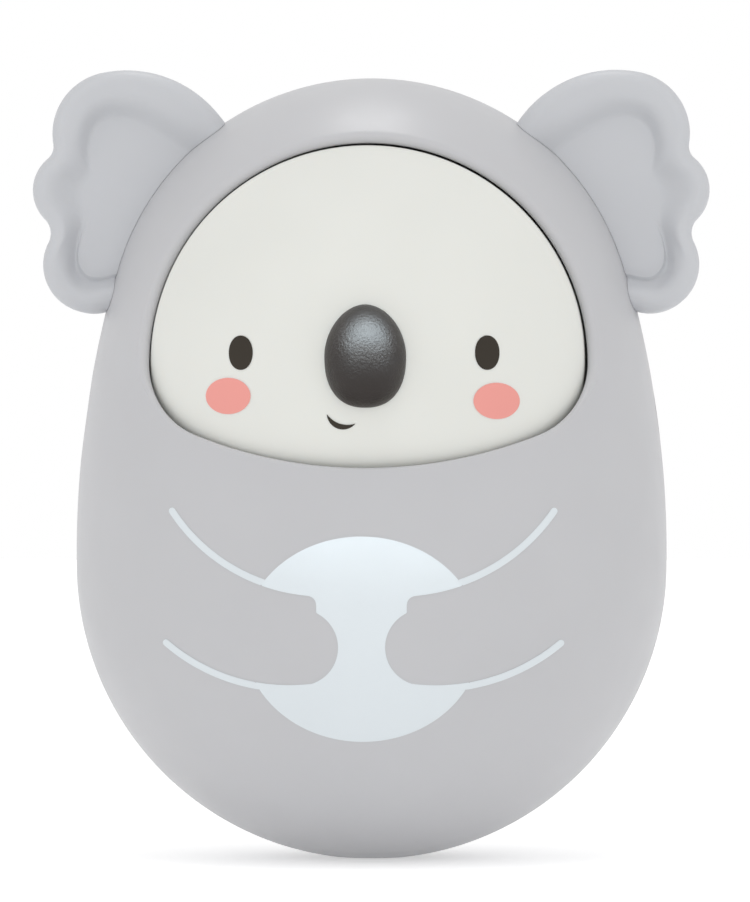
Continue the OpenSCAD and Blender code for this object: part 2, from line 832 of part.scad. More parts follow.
module chime_plate() {
    color([0.66, 0.6, 0.42]) difference() {
        union() {
            translate([0, 0, tray_top]) cylinder(r = plate_r, h = foot_t);
            translate([-4, -base_screw_ring_r - 4.5, tray_top])
                cube([8, 2 * base_screw_ring_r + 9, foot_t]);
        }
        translate([0, 0, tray_top - 1]) cylinder(r = plate_hole_r, h = foot_t + 2);
        for (side = [-1, 1]) translate([0, side * base_screw_ring_r, 0])
            cylinder(d = clear_d, h = far);
        for (a = [0, 90, 180, 270]) rotate([0, 0, a]) translate([rod_ring_r, 0, 0])
            cylinder(r = rod_d / 2 + seat_fit, h = far);
    }
}

module chime_rods() {
    color([0.75, 0.75, 0.76]) for (k = [0:3]) rotate([0, 0, 90 * k])
        translate([rod_ring_r, 0, tray_top]) cylinder(d = rod_d, h = foot_t + rod_heights[k]);
}

module chime_bracket() {
    foot_in = bracket_x - bracket_t / 2;
    color([0.86, 0.85, 0.8]) difference() {
        union() {
            for (side = [0, 1]) mirror([side, 0, 0]) {
                translate([foot_in, -bracket_w / 2, tray_top])
                    cube([bracket_t, bracket_w, bar_z + 3 - tray_top]);
                translate([foot_in, -bracket_w / 2, tray_top])
                    cube([base_screw_ring_r + 4.5 - foot_in, bracket_w, foot_t]);
                translate([link_w / 2 + lug_gap, -3, link_pin_z - 2.6])
                    cube([lug_t, 6, bar_z + 1 - link_pin_z + 2.6]);
            }
            translate([-foot_in - 1, -bracket_w / 2, bar_z])
                cube([2 * foot_in + 2, bracket_w, 3]);
        }
        for (side = [-1, 1]) translate([side * base_screw_ring_r, 0, 0])
            cylinder(d = clear_d, h = tray_top + foot_t + 1);
        translate([-8, 0, link_pin_z]) rotate([0, 90, 0])
            cylinder(d = chime_pin_d + 2 * seat_fit, h = 16);
    }
}

module link_pin() {
    half_l = link_w / 2 + lug_gap + lug_t;
    color([0.7, 0.7, 0.71]) translate([-half_l, 0, link_pin_z]) rotate([0, 90, 0])
        cylinder(d = chime_pin_d, h = 2 * half_l);
}

module clapper_link() {
    color([0.9, 0.9, 0.88]) difference() {
        union() {
            translate([-link_w / 2, 0, link_pin_z]) rotate([0, 90, 0])
                cylinder(d = link_d, h = link_w);
            rod_y(0, clapper_pin_z, link_w / 2, -link_d / 2, link_d / 2);
            translate([-link_w / 2, -link_d / 2, clapper_pin_z]) cube([link_w, link_d, link_l]);
        }
        translate([-far, 0, link_pin_z]) rotate([0, 90, 0])
            cylinder(d = chime_pin_d + 2 * run_fit, h = 2 * far);
        rod_y(0, clapper_pin_z, chime_pin_d / 2 + run_fit, -far, far);
    }
}

module clapper_pin() {
    half_l = link_d / 2 + fork_gap + fork_t;
    color([0.7, 0.7, 0.71]) rod_y(0, clapper_pin_z, chime_pin_d / 2, -half_l, half_l);
}

module clapper() {
    fork_in = link_d / 2 + fork_gap;
    fork_out = fork_in + fork_t;
    yoke_z = clapper_pin_z - link_w / 2 - 0.5;
    color([0.72, 0.6, 0.32]) difference() {
        union() {
            for (side = [0, 1]) mirror([0, side, 0]) {
                rod_y(0, clapper_pin_z, 2.2, fork_in, fork_out);
                translate([-2.2, fork_in, yoke_z - 1.6])
                    cube([4.4, fork_t, clapper_pin_z - yoke_z + 1.6]);
            }
            translate([-2.2, -fork_out, yoke_z - 1.6]) cube([4.4, 2 * fork_out, 1.6]);
            translate([0, 0, clapper_z]) cylinder(r = 1.4, h = yoke_z - 0.8 - clapper_z);
            translate([0, 0, clapper_z]) sphere(r = clapper_r);
        }
        rod_y(0, clapper_pin_z, chime_pin_d / 2 + seat_fit, -far, far);
    }
}

// A rounded oval of a width and a height
module oval(w, h, power) {
    polygon([for (i = [0:59]) let (a = i * 6, n = 2 / power)
        [w / 2 * sign(cos(a)) * pow(abs(cos(a)), n), h / 2 * sign(sin(a)) * pow(abs(sin(a)), n)]]);
}

// A thin layer of ink on the face, in a shape drawn in X and Z about the crown's centre
module face_ink() {
    forward() intersection() {
        difference() {
            head_ball(head_r + 0.03 + print_t);
            head_ball(head_r + 0.03);
        }
        translate([0, 0, crown_z]) standing(-deep, -face_part - 1) children();
    }
}

module eye_prints() {
    color([0.15, 0.14, 0.14]) face_ink()
        for (side = [-1, 1]) translate([side * eye_x + print_dx, -2.2]) oval(eye_w, eye_h, 2.1);
}

module cheek_prints() {
    color([0.92, 0.62, 0.58]) face_ink()
        for (side = [-1, 1]) translate([side * cheek_x + 2 * print_dx, -9.5 - side * 0.4])
            oval(cheek_w, cheek_h, 2);
}

module mouth_print() {
    half = 2.4;
    low_sag = 1.55;
    high_sag = 0.8;
    low_r = (half * half + low_sag * low_sag) / (2 * low_sag);
    high_r = (half * half + high_sag * high_sag) / (2 * high_sag);
    color([0.15, 0.14, 0.14]) face_ink() translate([-3.85, -12.7]) rotate(-18.5) difference() {
        translate([0, low_r - low_sag]) circle(r = low_r);
        translate([0, high_r - high_sag]) circle(r = high_r);
    }
}

// Wedge from a point between two headings
module wedge(c, from, to) {
    polygon([c, c + 60 * [cos(from), sin(from)], c + 75 * [cos((from + to) / 2), sin((from + to) / 2)],
        c + 60 * [cos(to), sin(to)]]);
}

// A drawn line along an arc, with a round outer end
module arc_line(c, r, from, to) {
    intersection() {
        difference() {
            translate(c) circle(r = r + arm_line / 2);
            translate(c) circle(r = r - arm_line / 2);
        }
        wedge(c, from, to);
    }
    translate(c + r * [cos(from), sin(from)]) circle(d = arm_line);
}

// Arm and paw on the side of -X, which stay in body grey
module arm_area(upper_c, upper_r, lower_c, lower_r) {
    intersection() {
        difference() {
            translate(lower_c) circle(r = lower_r - arm_line / 2);
            translate(upper_c) circle(r = upper_r + arm_line / 2);
        }
        union() {
            translate([-45, 0]) square([45 - 9.9, 60]);
            translate([-9.9, belly_z - 1.2]) circle(r = 6.15);
            translate([-14, belly_z]) square([6.8, 10]);
        }
    }
}

// Arcs that the upper and lower lines of an arm follow
arm_upper_c = [-6, belly_z + 37.1];
arm_upper_r = 30;
arm_lower_c = [-12, belly_z + 23.4];
arm_lower_r = 31.25;

// A thin layer of ink on the body, in a shape drawn in X and Z
module body_ink() {
    intersection() {
        rotate([0, 0, 200]) rotate_extrude(angle = 140)
            scale([1, egg_stretch]) egg_band(0.03, 0.03 + print_t);
        standing(-deep, -20) translate([2 * print_dx, 0]) children();
    }
}

// Outline of the belly
module belly_oval() {
    translate([0, belly_z]) oval(2 * belly_w, 2 * belly_h, 2);
}

module belly_print() {
    color([0.87, 0.9, 0.91]) body_ink() difference() {
        belly_oval();
        for (side = [0, 1]) mirror([side, 0])
            arm_area(arm_upper_c, arm_upper_r, arm_lower_c, arm_lower_r);
    }
}

module arm_prints() {
    color([0.87, 0.9, 0.91]) body_ink() difference() {
        for (side = [0, 1]) mirror([side, 0]) {
            arc_line(arm_upper_c, arm_upper_r, 214.6, 262);
            arc_line(arm_lower_c, arm_lower_r, 230.7, 268);
        }
        belly_oval();
    }
}

front_shell();
rear_shell();
left_ear();
right_ear();
body_screws();
face_shell();
head_back();
head_screws();
nose();
nose_screw();
head_weight();
head_weight_screw();
pivot_pin();
pivot_bush();
pivot_washer();
pivot_clip();
base_weight();
weight_tray();
base_screws();
chime_plate();
chime_rods();
chime_bracket();
link_pin();
clapper_link();
clapper_pin();
clapper();
eye_prints();
cheek_prints();
mouth_print();
belly_print();
arm_prints();
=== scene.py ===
"""Looks of a koala roly poly: a moulded grey body with a hood, a rocking white head, ears and prints.

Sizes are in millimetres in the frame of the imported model, and become metres when a mesh is made.
X runs to the viewer's right, Z up, and the face looks along -Y.
"""

import math

import bmesh
import bpy
import numpy as np
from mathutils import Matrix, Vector

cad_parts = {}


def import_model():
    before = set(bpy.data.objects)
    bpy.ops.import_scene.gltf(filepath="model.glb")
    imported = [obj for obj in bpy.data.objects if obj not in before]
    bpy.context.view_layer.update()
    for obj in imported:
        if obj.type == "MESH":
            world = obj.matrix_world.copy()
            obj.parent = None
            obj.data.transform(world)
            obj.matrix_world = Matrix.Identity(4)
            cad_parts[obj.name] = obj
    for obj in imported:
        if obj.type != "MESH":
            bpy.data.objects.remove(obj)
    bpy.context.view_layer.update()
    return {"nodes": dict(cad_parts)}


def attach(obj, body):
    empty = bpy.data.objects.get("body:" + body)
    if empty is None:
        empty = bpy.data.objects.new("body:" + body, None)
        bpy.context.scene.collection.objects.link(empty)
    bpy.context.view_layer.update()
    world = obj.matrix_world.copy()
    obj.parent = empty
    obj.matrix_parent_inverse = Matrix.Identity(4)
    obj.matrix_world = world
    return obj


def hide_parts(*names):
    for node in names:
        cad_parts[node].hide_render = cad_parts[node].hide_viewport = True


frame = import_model()
cad = frame["nodes"]

MM = 0.001

# Egg-shaped body: base, flank and crown arcs
BODY_H = 129.4
BASE_R = 49.0
CROWN_R = 44.0
FLANK_R = 168.0
WALL = 2.4
FLAT_D = 10.0
BASE_Z = math.sqrt(BASE_R ** 2 - FLAT_D ** 2 / 4)
CROWN_Z = BODY_H - CROWN_R
EGG_RISE = CROWN_Z - BASE_Z
FLANK_TO_BASE = FLANK_R - BASE_R
FLANK_TO_CROWN = FLANK_R - CROWN_R
FLANK_UP = (FLANK_TO_BASE ** 2 - FLANK_TO_CROWN ** 2 + EGG_RISE ** 2) / (2 * EGG_RISE)
FLANK_X = -math.sqrt(FLANK_TO_BASE ** 2 - FLANK_UP ** 2)
FLANK_Z = BASE_Z + FLANK_UP
BASE_SIN = (BASE_Z - FLANK_Z) / FLANK_TO_BASE
CROWN_SIN = (CROWN_Z - FLANK_Z) / FLANK_TO_CROWN

# Hood opening: brow, cheek and chin arcs
BROW_R = CROWN_R - 8.4
BROW_Z = CROWN_Z - 3.6
CHEEK_R = 12.6
CHEEK_OFF = BROW_R - CHEEK_R
CHIN_DEPTH = 17.0
CHIN_R = (CHEEK_OFF ** 2 + CHIN_DEPTH ** 2 - CHEEK_R ** 2) / (2 * (CHIN_DEPTH - CHEEK_R))
CHIN_Z = BROW_Z - CHIN_DEPTH + CHIN_R
CHIN_TURN = math.degrees(math.atan2(CHIN_Z - BROW_Z, CHEEK_OFF))
LIP_R = 1.1
CHIN_LIP_R = 0.55
EDGE_ROUND = 0.3
CHIN_EDGE_ROUND = 0.2
CHIN_DIP = 0.95
CHIN_DIP_WIDTH = 18.0
LOW_START = 0.05
LOW_SPAN = 0.5

# Head ball and nose
HEAD_Y = -12.0
HEAD_Z = BROW_Z
HEAD_R = BROW_R + 1.1
HEAD_WALL = 2.0
FACE_PART = 2.0
NOSE_W = 13.1
NOSE_H = 16.5
NOSE_OUT = 5.2
NOSE_SINK = 0.6
NOSE_TOP_POWER = 1.88
NOSE_LOW_POWER = 2.35
NOSE_Z = CROWN_Z - 2.8
NOSE_RIM_Y = HEAD_Y - (HEAD_R - 1.2)

# Face: a dome that stays close under the hood's edge, with a rim level with the brow
FACE_BEND = 0.0118
FACE_DROP = 4e-9
FACE_RIM = 35.24
FACE_RIM_SHIFT = 0.16
FACE_RIM_ROUND = 0.5
FACE_RIM_BACK = 35.55
FACE_BROW = 30.0
FACE_BROW_LIFT = 0.08
FACE_BROW_START = 0.19
FACE_BROW_SPAN = 0.6

# Seam between the body halves
SEAM_GAP = 0.02
SEAM_ROUND = 0.3

# Screw towers of the rear half
TOWERS = [(38.97, 56.0), (-38.97, 56.0), (31.27, 27.0), (-31.27, 27.0)]
TOWER_R = 4.75
SINK_R = 3.25
CLEAR_R = 1.7
TOWER_SEAT = 8.0
TOWER_FRONT = 0.1
SINK_END = 60.0


def egg_radius(z, grow=0.0):
    """Half width of the egg at heights z, for its surface moved outwards by grow."""
    z = np.asarray(z, float)
    base = np.sqrt(np.maximum((BASE_R + grow) ** 2 - (z - BASE_Z) ** 2, 0))
    flank = FLANK_X + np.sqrt((FLANK_R + grow) ** 2 - (z - FLANK_Z) ** 2)
    crown = np.sqrt(np.maximum((CROWN_R + grow) ** 2 - (z - CROWN_Z) ** 2, 0))
    low_end = BASE_Z + (BASE_R + grow) * BASE_SIN
    high_end = CROWN_Z + (CROWN_R + grow) * CROWN_SIN
    return np.where(z < low_end, base, np.where(z < high_end, flank, crown))


def egg_depth(x, z, grow=0.0):
    """Distance of the egg's surface from the seam plane over points x, z."""
    return np.sqrt(np.maximum(egg_radius(z, grow) ** 2 - np.asarray(x) ** 2, 0))


def egg_normal(x, y, z):
    """Outward normals at points on the egg or on a surface parallel to it."""
    r = np.hypot(x, y)
    up = np.where(
        z < BASE_Z + BASE_R * BASE_SIN,
        (z - BASE_Z) / np.maximum(r, 1e-9),
        np.where(
            z < CROWN_Z + CROWN_R * CROWN_SIN,
            (z - FLANK_Z) / (r - FLANK_X),
            (z - CROWN_Z) / np.maximum(r, 1e-9),
        ),
    )
    size = np.sqrt(1 + up ** 2)
    return np.stack([x / r / size, y / r / size, up / size], -1)


def seam_outline(turn, grow=0.0):
    """Points of the egg's outline in the seam plane whose outward normals have these angles."""
    c, s = np.cos(turn), np.sin(turn)
    side = np.where(c < 0, -1.0, 1.0)
    x = np.where(
        s < BASE_SIN,
        (BASE_R + grow) * np.abs(c),
        np.where(s < CROWN_SIN, FLANK_X + (FLANK_R + grow) * np.abs(c), (CROWN_R + grow) * np.abs(c)),
    )
    z = np.where(
        s < BASE_SIN,
        BASE_Z + (BASE_R + grow) * s,
        np.where(s < CROWN_SIN, FLANK_Z + (FLANK_R + grow) * s, CROWN_Z + (CROWN_R + grow) * s),
    )
    return np.stack([side * x, np.maximum(z, -grow)], -1)


def opening_outline(turn, grow=0.0):
    """Points of the hood opening's outline whose outward normals have these angles."""
    turn = np.asarray(turn)
    degrees = np.degrees(turn)
    is_brow = degrees >= 0
    is_chin = (degrees < -CHIN_TURN) & (degrees > CHIN_TURN - 180)
    side = np.where(np.cos(turn) < 0, -1.0, 1.0)
    radius = np.where(is_brow, BROW_R, np.where(is_chin, CHIN_R, CHEEK_R)) + grow
    x = np.where(is_brow | is_chin, 0.0, side * CHEEK_OFF)
    z = np.where(is_chin, CHIN_Z, BROW_Z)
    return np.stack([x + radius * np.cos(turn), z + radius * np.sin(turn)], -1)


def turn_steps():
    """Normal angles round the body, closer together where the outlines are long."""
    spans = [
        (-180, CHIN_TURN - 180, 90),
        (CHIN_TURN - 180, -CHIN_TURN, 90),
        (-CHIN_TURN, 0, 90),
        (0, 20, 50),
        (20, 160, 150),
        (160, 180, 50),
    ]
    return np.radians(np.concatenate([np.linspace(a, b, n, endpoint=False) for a, b, n in spans]))


def smooth_step(t):
    """0 below 0, 1 above 1 and an even S between."""
    t = np.clip(t, 0, 1)
    return t * t * (3 - 2 * t)


def low_share(turn):
    """0 along the brow and 1 along cheeks and chin, for normal angles of the opening's outline."""
    return smooth_step((-np.sin(turn) - LOW_START) / LOW_SPAN)


def shell_dip(x, z):
    """How far the front of the body dips towards the face beside cheeks and chin."""
    side = np.abs(x)
    chin_turn = np.arctan2(z - CHIN_Z, side)
    cheek_turn = np.arctan2(z - BROW_Z, side - CHEEK_OFF)
    is_chin = (np.degrees(chin_turn) < -CHIN_TURN) & (z < BROW_Z)
    chin = np.hypot(side, z - CHIN_Z) - CHIN_R
    cheek = np.hypot(side - CHEEK_OFF, z - BROW_Z) - CHEEK_R
    away = np.maximum(np.where(is_chin, chin, cheek), 0)
    share = low_share(np.where(is_chin, chin_turn, cheek_turn))
    return CHIN_DIP * share * smooth_step(1 - away / CHIN_DIP_WIDTH)


def shade(mesh, sharp_angle):
    """Smooth shading with creases above an angle in degrees."""
    mesh.shade_smooth()
    mesh.set_sharp_from_angle(angle=math.radians(sharp_angle))


def add_mesh(name, points, faces, sharp_angle=35.0):
    """A smooth-shaded object from points in millimetres, with its faces turned outwards."""
    mesh = bpy.data.meshes.new(name)
    mesh.from_pydata([tuple(MM * c for c in p) for p in points], [], faces)
    mesh.validate()
    bm = bmesh.new()
    bm.from_mesh(mesh)
    bmesh.ops.recalc_face_normals(bm, faces=bm.faces)
    bm.to_mesh(mesh)
    bm.free()
    shade(mesh, sharp_angle)
    obj = bpy.data.objects.new(name, mesh)
    bpy.context.scene.collection.objects.link(obj)
    return obj


def tube_faces(rows, columns):
    """Faces of a closed surface whose points run in rows round and columns round."""
    faces = []
    for i in range(rows):
        for j in range(columns):
            a = i * columns + j
            b = i * columns + (j + 1) % columns
            c = ((i + 1) % rows) * columns + (j + 1) % columns
            d = ((i + 1) % rows) * columns + j
            faces.append((a, b, c, d))
    return faces


def ring_faces(rows, n):
    """Faces of rows of rings with n points each, closed on two tip points that follow the rings."""
    faces = []
    for k in range(rows - 1):
        for i in range(n):
            j = (i + 1) % n
            faces.append((k * n + i, k * n + j, (k + 1) * n + j, (k + 1) * n + i))
    first_tip, last_tip = rows * n, rows * n + 1
    last_ring = (rows - 1) * n
    faces += [(first_tip, (i + 1) % n, i) for i in range(n)]
    faces += [(last_tip, last_ring + i, last_ring + (i + 1) % n) for i in range(n)]
    return faces


def boolean(obj, other, operation):
    """Joins obj with another object, or cuts it, and removes the other."""
    modifier = obj.modifiers.new("cut", "BOOLEAN")
    modifier.operation = operation
    modifier.object = other
    modifier.solver = "EXACT"
    graph = bpy.context.evaluated_depsgraph_get()
    mesh = bpy.data.meshes.new_from_object(obj.evaluated_get(graph))
    obj.modifiers.clear()
    old = obj.data
    obj.data = mesh
    bpy.data.meshes.remove(old)
    gone = other.data
    bpy.data.objects.remove(other)
    bpy.data.meshes.remove(gone)


def rod_y(name, x, z, radius, low, high, sides=64):
    """A plain round rod along Y, used for cutting and joining."""
    turn = np.linspace(0, 2 * math.pi, sides, endpoint=False)
    points = []
    for y in (low, high):
        points += [(x + radius * math.cos(a), y, z + radius * math.sin(a)) for a in turn]
    faces = [(i, (i + 1) % sides, sides + (i + 1) % sides, sides + i) for i in range(sides)]
    faces += [tuple(range(sides - 1, -1, -1)), tuple(range(sides, 2 * sides))]
    return add_mesh(name, points, faces)


def finish_piece(obj, body, slot, material, *replaced):
    """Gives a piece its material and body and hides the CAD nodes that it stands for; slot is not used."""
    obj.data.materials.clear()
    obj.data.materials.append(material)
    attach(obj, body)
    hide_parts(*replaced)
    return obj


# Materials


def new_material(name):
    """A node material with its shader and object coordinates."""
    material = bpy.data.materials.new(name)
    material.use_nodes = True
    tree = material.node_tree
    shader = tree.nodes["Principled BSDF"]
    coords = tree.nodes.new("ShaderNodeTexCoord")
    return material, tree, shader, coords


def add_noise(tree, coords, scale, detail=2.0):
    """A noise pattern with a number of cells per metre."""
    noise = tree.nodes.new("ShaderNodeTexNoise")
    noise.inputs["Scale"].default_value = scale
    noise.inputs["Detail"].default_value = detail
    tree.links.new(coords.outputs["Object"], noise.inputs["Vector"])
    return noise


def link_range(tree, source, target, low, high):
    """Drives a shader socket between two values by a pattern."""
    spread = tree.nodes.new("ShaderNodeMapRange")
    spread.inputs["From Min"].default_value = 0.3
    spread.inputs["From Max"].default_value = 0.7
    spread.inputs["To Min"].default_value = low
    spread.inputs["To Max"].default_value = high
    tree.links.new(source.outputs["Fac"], spread.inputs["Value"])
    tree.links.new(spread.outputs["Result"], target)


def link_colour(tree, source, shader, colour, change):
    """Lets the base colour vary by a share from one patch to the next."""
    ramp = tree.nodes.new("ShaderNodeValToRGB")
    ramp.color_ramp.elements[0].position = 0.3
    ramp.color_ramp.elements[1].position = 0.7
    ramp.color_ramp.elements[0].color = (*[c * (1 - change) for c in colour], 1)
    ramp.color_ramp.elements[1].color = (*[min(1, c * (1 + change)) for c in colour], 1)
    tree.links.new(source.outputs["Fac"], ramp.inputs["Fac"])
    tree.links.new(ramp.outputs["Color"], shader.inputs["Base Color"])


def link_bump(tree, source, shader, height):
    """Raises the surface by a pattern to a height in millimetres."""
    bump = tree.nodes.new("ShaderNodeBump")
    bump.inputs["Strength"].default_value = 1.0
    bump.inputs["Distance"].default_value = height * MM
    tree.links.new(source.outputs["Fac"], bump.inputs["Height"])
    tree.links.new(bump.outputs["Normal"], shader.inputs["Normal"])


def plastic(
    name, colour, rough, gloss=0.5, grain=900.0, grain_height=0.004, change=0.012, soft=0.0, deep=1.5
):
    """Moulded plastic with faint colour drift, uneven gloss and a fine moulded grain."""
    material, tree, shader, coords = new_material(name)
    link_colour(tree, add_noise(tree, coords, 45.0), shader, colour, change)
    link_range(tree, add_noise(tree, coords, 130.0), shader.inputs["Roughness"], rough - 0.04, rough + 0.04)
    link_bump(tree, add_noise(tree, coords, grain, 3.0), shader, grain_height)
    shader.inputs["Specular IOR Level"].default_value = gloss
    if soft:
        shader.inputs["Subsurface Weight"].default_value = soft
        shader.inputs["Subsurface Radius"].default_value = (1.0, 0.9, 0.8)
        shader.inputs["Subsurface Scale"].default_value = deep * MM
    return material


def metal(name, colour, rough, grain):
    """Plain metal with fine turning or casting marks."""
    material, tree, shader, coords = new_material(name)
    shader.inputs["Metallic"].default_value = 1.0
    link_colour(tree, add_noise(tree, coords, 200.0), shader, colour, 0.06)
    link_range(tree, add_noise(tree, coords, grain), shader.inputs["Roughness"], rough - 0.08, rough + 0.08)
    link_bump(tree, add_noise(tree, coords, grain, 4.0), shader, 0.006)
    return material


NOSE_GRAIN = {"grain": 2500.0, "grain_height": 0.09, "change": 0.1}
INK_GRAIN = {"grain": 3000.0, "grain_height": 0.003}
BODY_GREY = plastic("body_grey", (0.565, 0.566, 0.582), 0.42, 0.2, soft=0.15)
EAR_GREY = plastic("ear_grey", (0.592, 0.602, 0.626), 0.5, 0.2, soft=0.15)
HEAD_WHITE = plastic("head_white", (0.80, 0.805, 0.765), 0.55, 0.06, soft=0.25, deep=1.0)
NOSE_BLACK = plastic("nose_black", (0.016, 0.010, 0.007), 0.44, 0.38, **NOSE_GRAIN)
INK_BLACK = plastic("ink_black", (0.037, 0.030, 0.022), 0.5, 0.2, change=0.06, **INK_GRAIN)
INK_PINK = plastic("ink_pink", (0.87, 0.36, 0.32), 0.5, 0.15, change=0.02, **INK_GRAIN)
INK_PALE = plastic("ink_pale", (0.73, 0.78, 0.81), 0.45, 0.3, **INK_GRAIN)
NATURAL = plastic("natural_plastic", (0.72, 0.70, 0.62), 0.5)
STEEL = metal("screw_steel", (0.55, 0.55, 0.57), 0.32, 900.0)
TURNED = metal("turned_steel", (0.60, 0.60, 0.61), 0.28, 1500.0)
SPRING = metal("spring_steel", (0.20, 0.20, 0.21), 0.35, 900.0)
CAST = metal("cast_weight", (0.10, 0.10, 0.105), 0.62, 600.0)
BRASS = metal("chime_brass", (0.60, 0.45, 0.18), 0.25, 1200.0)


# Body


def front_shell():
    """Front half with the hood opening: one closed cross-section carried round the opening."""
    turn = turn_steps()
    n = len(turn)
    seam = seam_outline(turn)
    seam_in = seam_outline(turn, -WALL)
    outward = np.stack([np.cos(turn), np.sin(turn)], -1)
    columns = []

    def add(xz, y):
        columns.append(np.stack([xz[:, 0], np.broadcast_to(y, (n,)), xz[:, 1]], -1))

    # Seam face with a small rounded outer edge
    add(seam_in, -SEAM_GAP)
    add(seam - SEAM_ROUND * outward, -SEAM_GAP)
    for a in np.radians([67.5, 45, 22.5]):
        add(seam - SEAM_ROUND * (1 - math.cos(a)) * outward, -SEAM_GAP - SEAM_ROUND * (1 - math.sin(a)))

    # Lip: a ball of the lip's radius rolled along the edge, which dips towards the face below the brow
    low = low_share(turn)
    lip_r = LIP_R + (CHIN_LIP_R - LIP_R) * low
    inner = opening_outline(turn)
    middle = inner + lip_r[:, None] * outward
    middle_y = -egg_depth(middle[:, 0], middle[:, 1], -lip_r - CHIN_DIP * low)
    surface_normal = egg_normal(middle[:, 0], middle_y, middle[:, 1])
    edge = middle + lip_r[:, None] * surface_normal[:, [0, 2]]

    # Outer surface from the seam to the lip
    for t in np.linspace(0.05, 1, 72):
        share = 1 - math.cos(t * math.pi / 2)
        xz = seam + (edge - seam) * share
        add(xz, -egg_depth(xz[:, 0], xz[:, 1], -shell_dip(xz[:, 0], xz[:, 1])))

    # Round of the lip, from the outer surface to the wall of the opening
    wall_normal = np.stack([-outward[:, 0], np.zeros(n), -outward[:, 1]], -1)
    between = np.arccos(np.clip(np.sum(wall_normal * surface_normal, -1), -1, 1))
    centre = np.stack([middle[:, 0], middle_y, middle[:, 1]], -1)
    for t in np.linspace(0, 1, 13)[1:]:
        weight_a = np.sin((1 - t) * between) / np.sin(between)
        weight_b = np.sin(t * between) / np.sin(between)
        ray = weight_a[:, None] * surface_normal + weight_b[:, None] * wall_normal
        columns.append(centre + lip_r[:, None] * ray)

    # Wall of the opening, with a small rounded inner edge
    inner_y = -egg_depth(inner[:, 0], inner[:, 1], -WALL)
    edge_round = EDGE_ROUND + (CHIN_EDGE_ROUND - EDGE_ROUND) * low
    for t in (0.35, 0.7, 1.0):
        add(inner, middle_y + (inner_y - edge_round - middle_y) * t)
    for a in np.radians([30, 60, 90]):
        xz = opening_outline(turn, edge_round * (1 - math.cos(a)))
        add(xz, -egg_depth(xz[:, 0], xz[:, 1], -WALL) - edge_round * (1 - math.sin(a)))

    # Inner surface back to the seam
    root = opening_outline(turn, edge_round)
    for t in np.linspace(0, 1, 30)[1:-1]:
        share = 1 - math.cos((1 - t) * math.pi / 2)
        xz = seam_in + (root - seam_in) * share
        add(xz, -egg_depth(xz[:, 0], xz[:, 1], -WALL))

    points = np.stack(columns, 1).reshape(-1, 3)
    points[:, 2] = np.maximum(points[:, 2], 0)
    obj = add_mesh("front_shell_skin", points, tube_faces(n, len(columns)))
    return finish_piece(obj, "body", "body_grey", BODY_GREY, "front_shell")


def rear_shell():
    """Rear half: rings from the seam to the middle of the back, then the screw towers and holes."""
    turn = turn_steps()
    n = len(turn)
    seam = seam_outline(turn)
    seam_in = seam_outline(turn, -WALL)
    outward = np.stack([np.cos(turn), np.sin(turn)], -1)
    pole = np.array([0.0, 0.5 * BODY_H])
    rings = []

    def add(xz, y):
        ring = np.stack([xz[:, 0], np.broadcast_to(y, (n,)), xz[:, 1]], -1)
        ring[:, 2] = np.maximum(ring[:, 2], 0)
        rings.append(ring)

    shares = [1 - math.cos(t * math.pi / 2) for t in np.linspace(0.05, 0.985, 64)]
    for share in reversed(shares):
        xz = seam_in + (pole - seam_in) * share
        add(xz, egg_depth(xz[:, 0], xz[:, 1], -WALL))
    add(seam_in, SEAM_GAP)
    add(seam - SEAM_ROUND * outward, SEAM_GAP)
    for a in np.radians([67.5, 45, 22.5]):
        add(seam - SEAM_ROUND * (1 - math.cos(a)) * outward, SEAM_GAP + SEAM_ROUND * (1 - math.sin(a)))
    for share in shares:
        xz = seam + (pole - seam) * share
        add(xz, egg_depth(xz[:, 0], xz[:, 1]))
    tips = [(0, egg_depth(0, pole[1], -WALL), pole[1]), (0, egg_depth(0, pole[1]), pole[1])]
    points = np.concatenate([*rings, np.array(tips, float)])
    obj = add_mesh("rear_shell_skin", points, ring_faces(len(rings), n))
    for x, z in TOWERS:
        inside = float(egg_depth(abs(x) + TOWER_R, z, -WALL / 2))
        boolean(obj, rod_y("tower", x, z, TOWER_R, TOWER_FRONT, inside), "UNION")
    for x, z in TOWERS:
        boolean(obj, rod_y("sink", x, z, SINK_R, TOWER_SEAT, SINK_END), "DIFFERENCE")
        boolean(obj, rod_y("clear", x, z, CLEAR_R, -1.0, TOWER_SEAT + 1), "DIFFERENCE")
    shade(obj.data, 30)
    return finish_piece(obj, "body", "body_grey", BODY_GREY, "rear_shell")


# Ears, drawn on the side of +X

EAR_LEAN = math.radians(57.5)
EAR_BASE_X = CROWN_R * math.sin(EAR_LEAN)
EAR_BASE_Z = CROWN_Z + CROWN_R * math.cos(EAR_LEAN)
EAR_BACK = ((EAR_BASE_X + 3.35, EAR_BASE_Z + 1.95), 19.5)
EAR_TOP_TURN = 77.7
EAR_TOP_R = 10.3
EAR_TOP = (
    (
        EAR_BACK[0][0] + (EAR_BACK[1] - EAR_TOP_R) * math.cos(math.radians(EAR_TOP_TURN)),
        EAR_BACK[0][1] + (EAR_BACK[1] - EAR_TOP_R) * math.sin(math.radians(EAR_TOP_TURN)),
    ),
    EAR_TOP_R,
)
EAR_MID = ((EAR_BASE_X + 12.05, EAR_BASE_Z + 1.6), 6.8)
EAR_LOW = ((EAR_BASE_X + 9.15, EAR_BASE_Z - 10.7), 8.0)
EAR_ROOT_LOW = ((EAR_BASE_X - 12.1, EAR_BASE_Z - 8.65), 7.0)
EAR_ROOT_TOP = ((EAR_BASE_X - 12.1, EAR_BASE_Z - 0.65), 7.0)
NOTCH_TOP_R = 2.6
NOTCH_LOW_R = 3.3
EAR_FRONT = 9.0
EAR_REAR = 3.0
EAR_CREST = 2.1
EAR_CREST_DEEP = 2.8
EAR_BACK_ROUND = 1.7
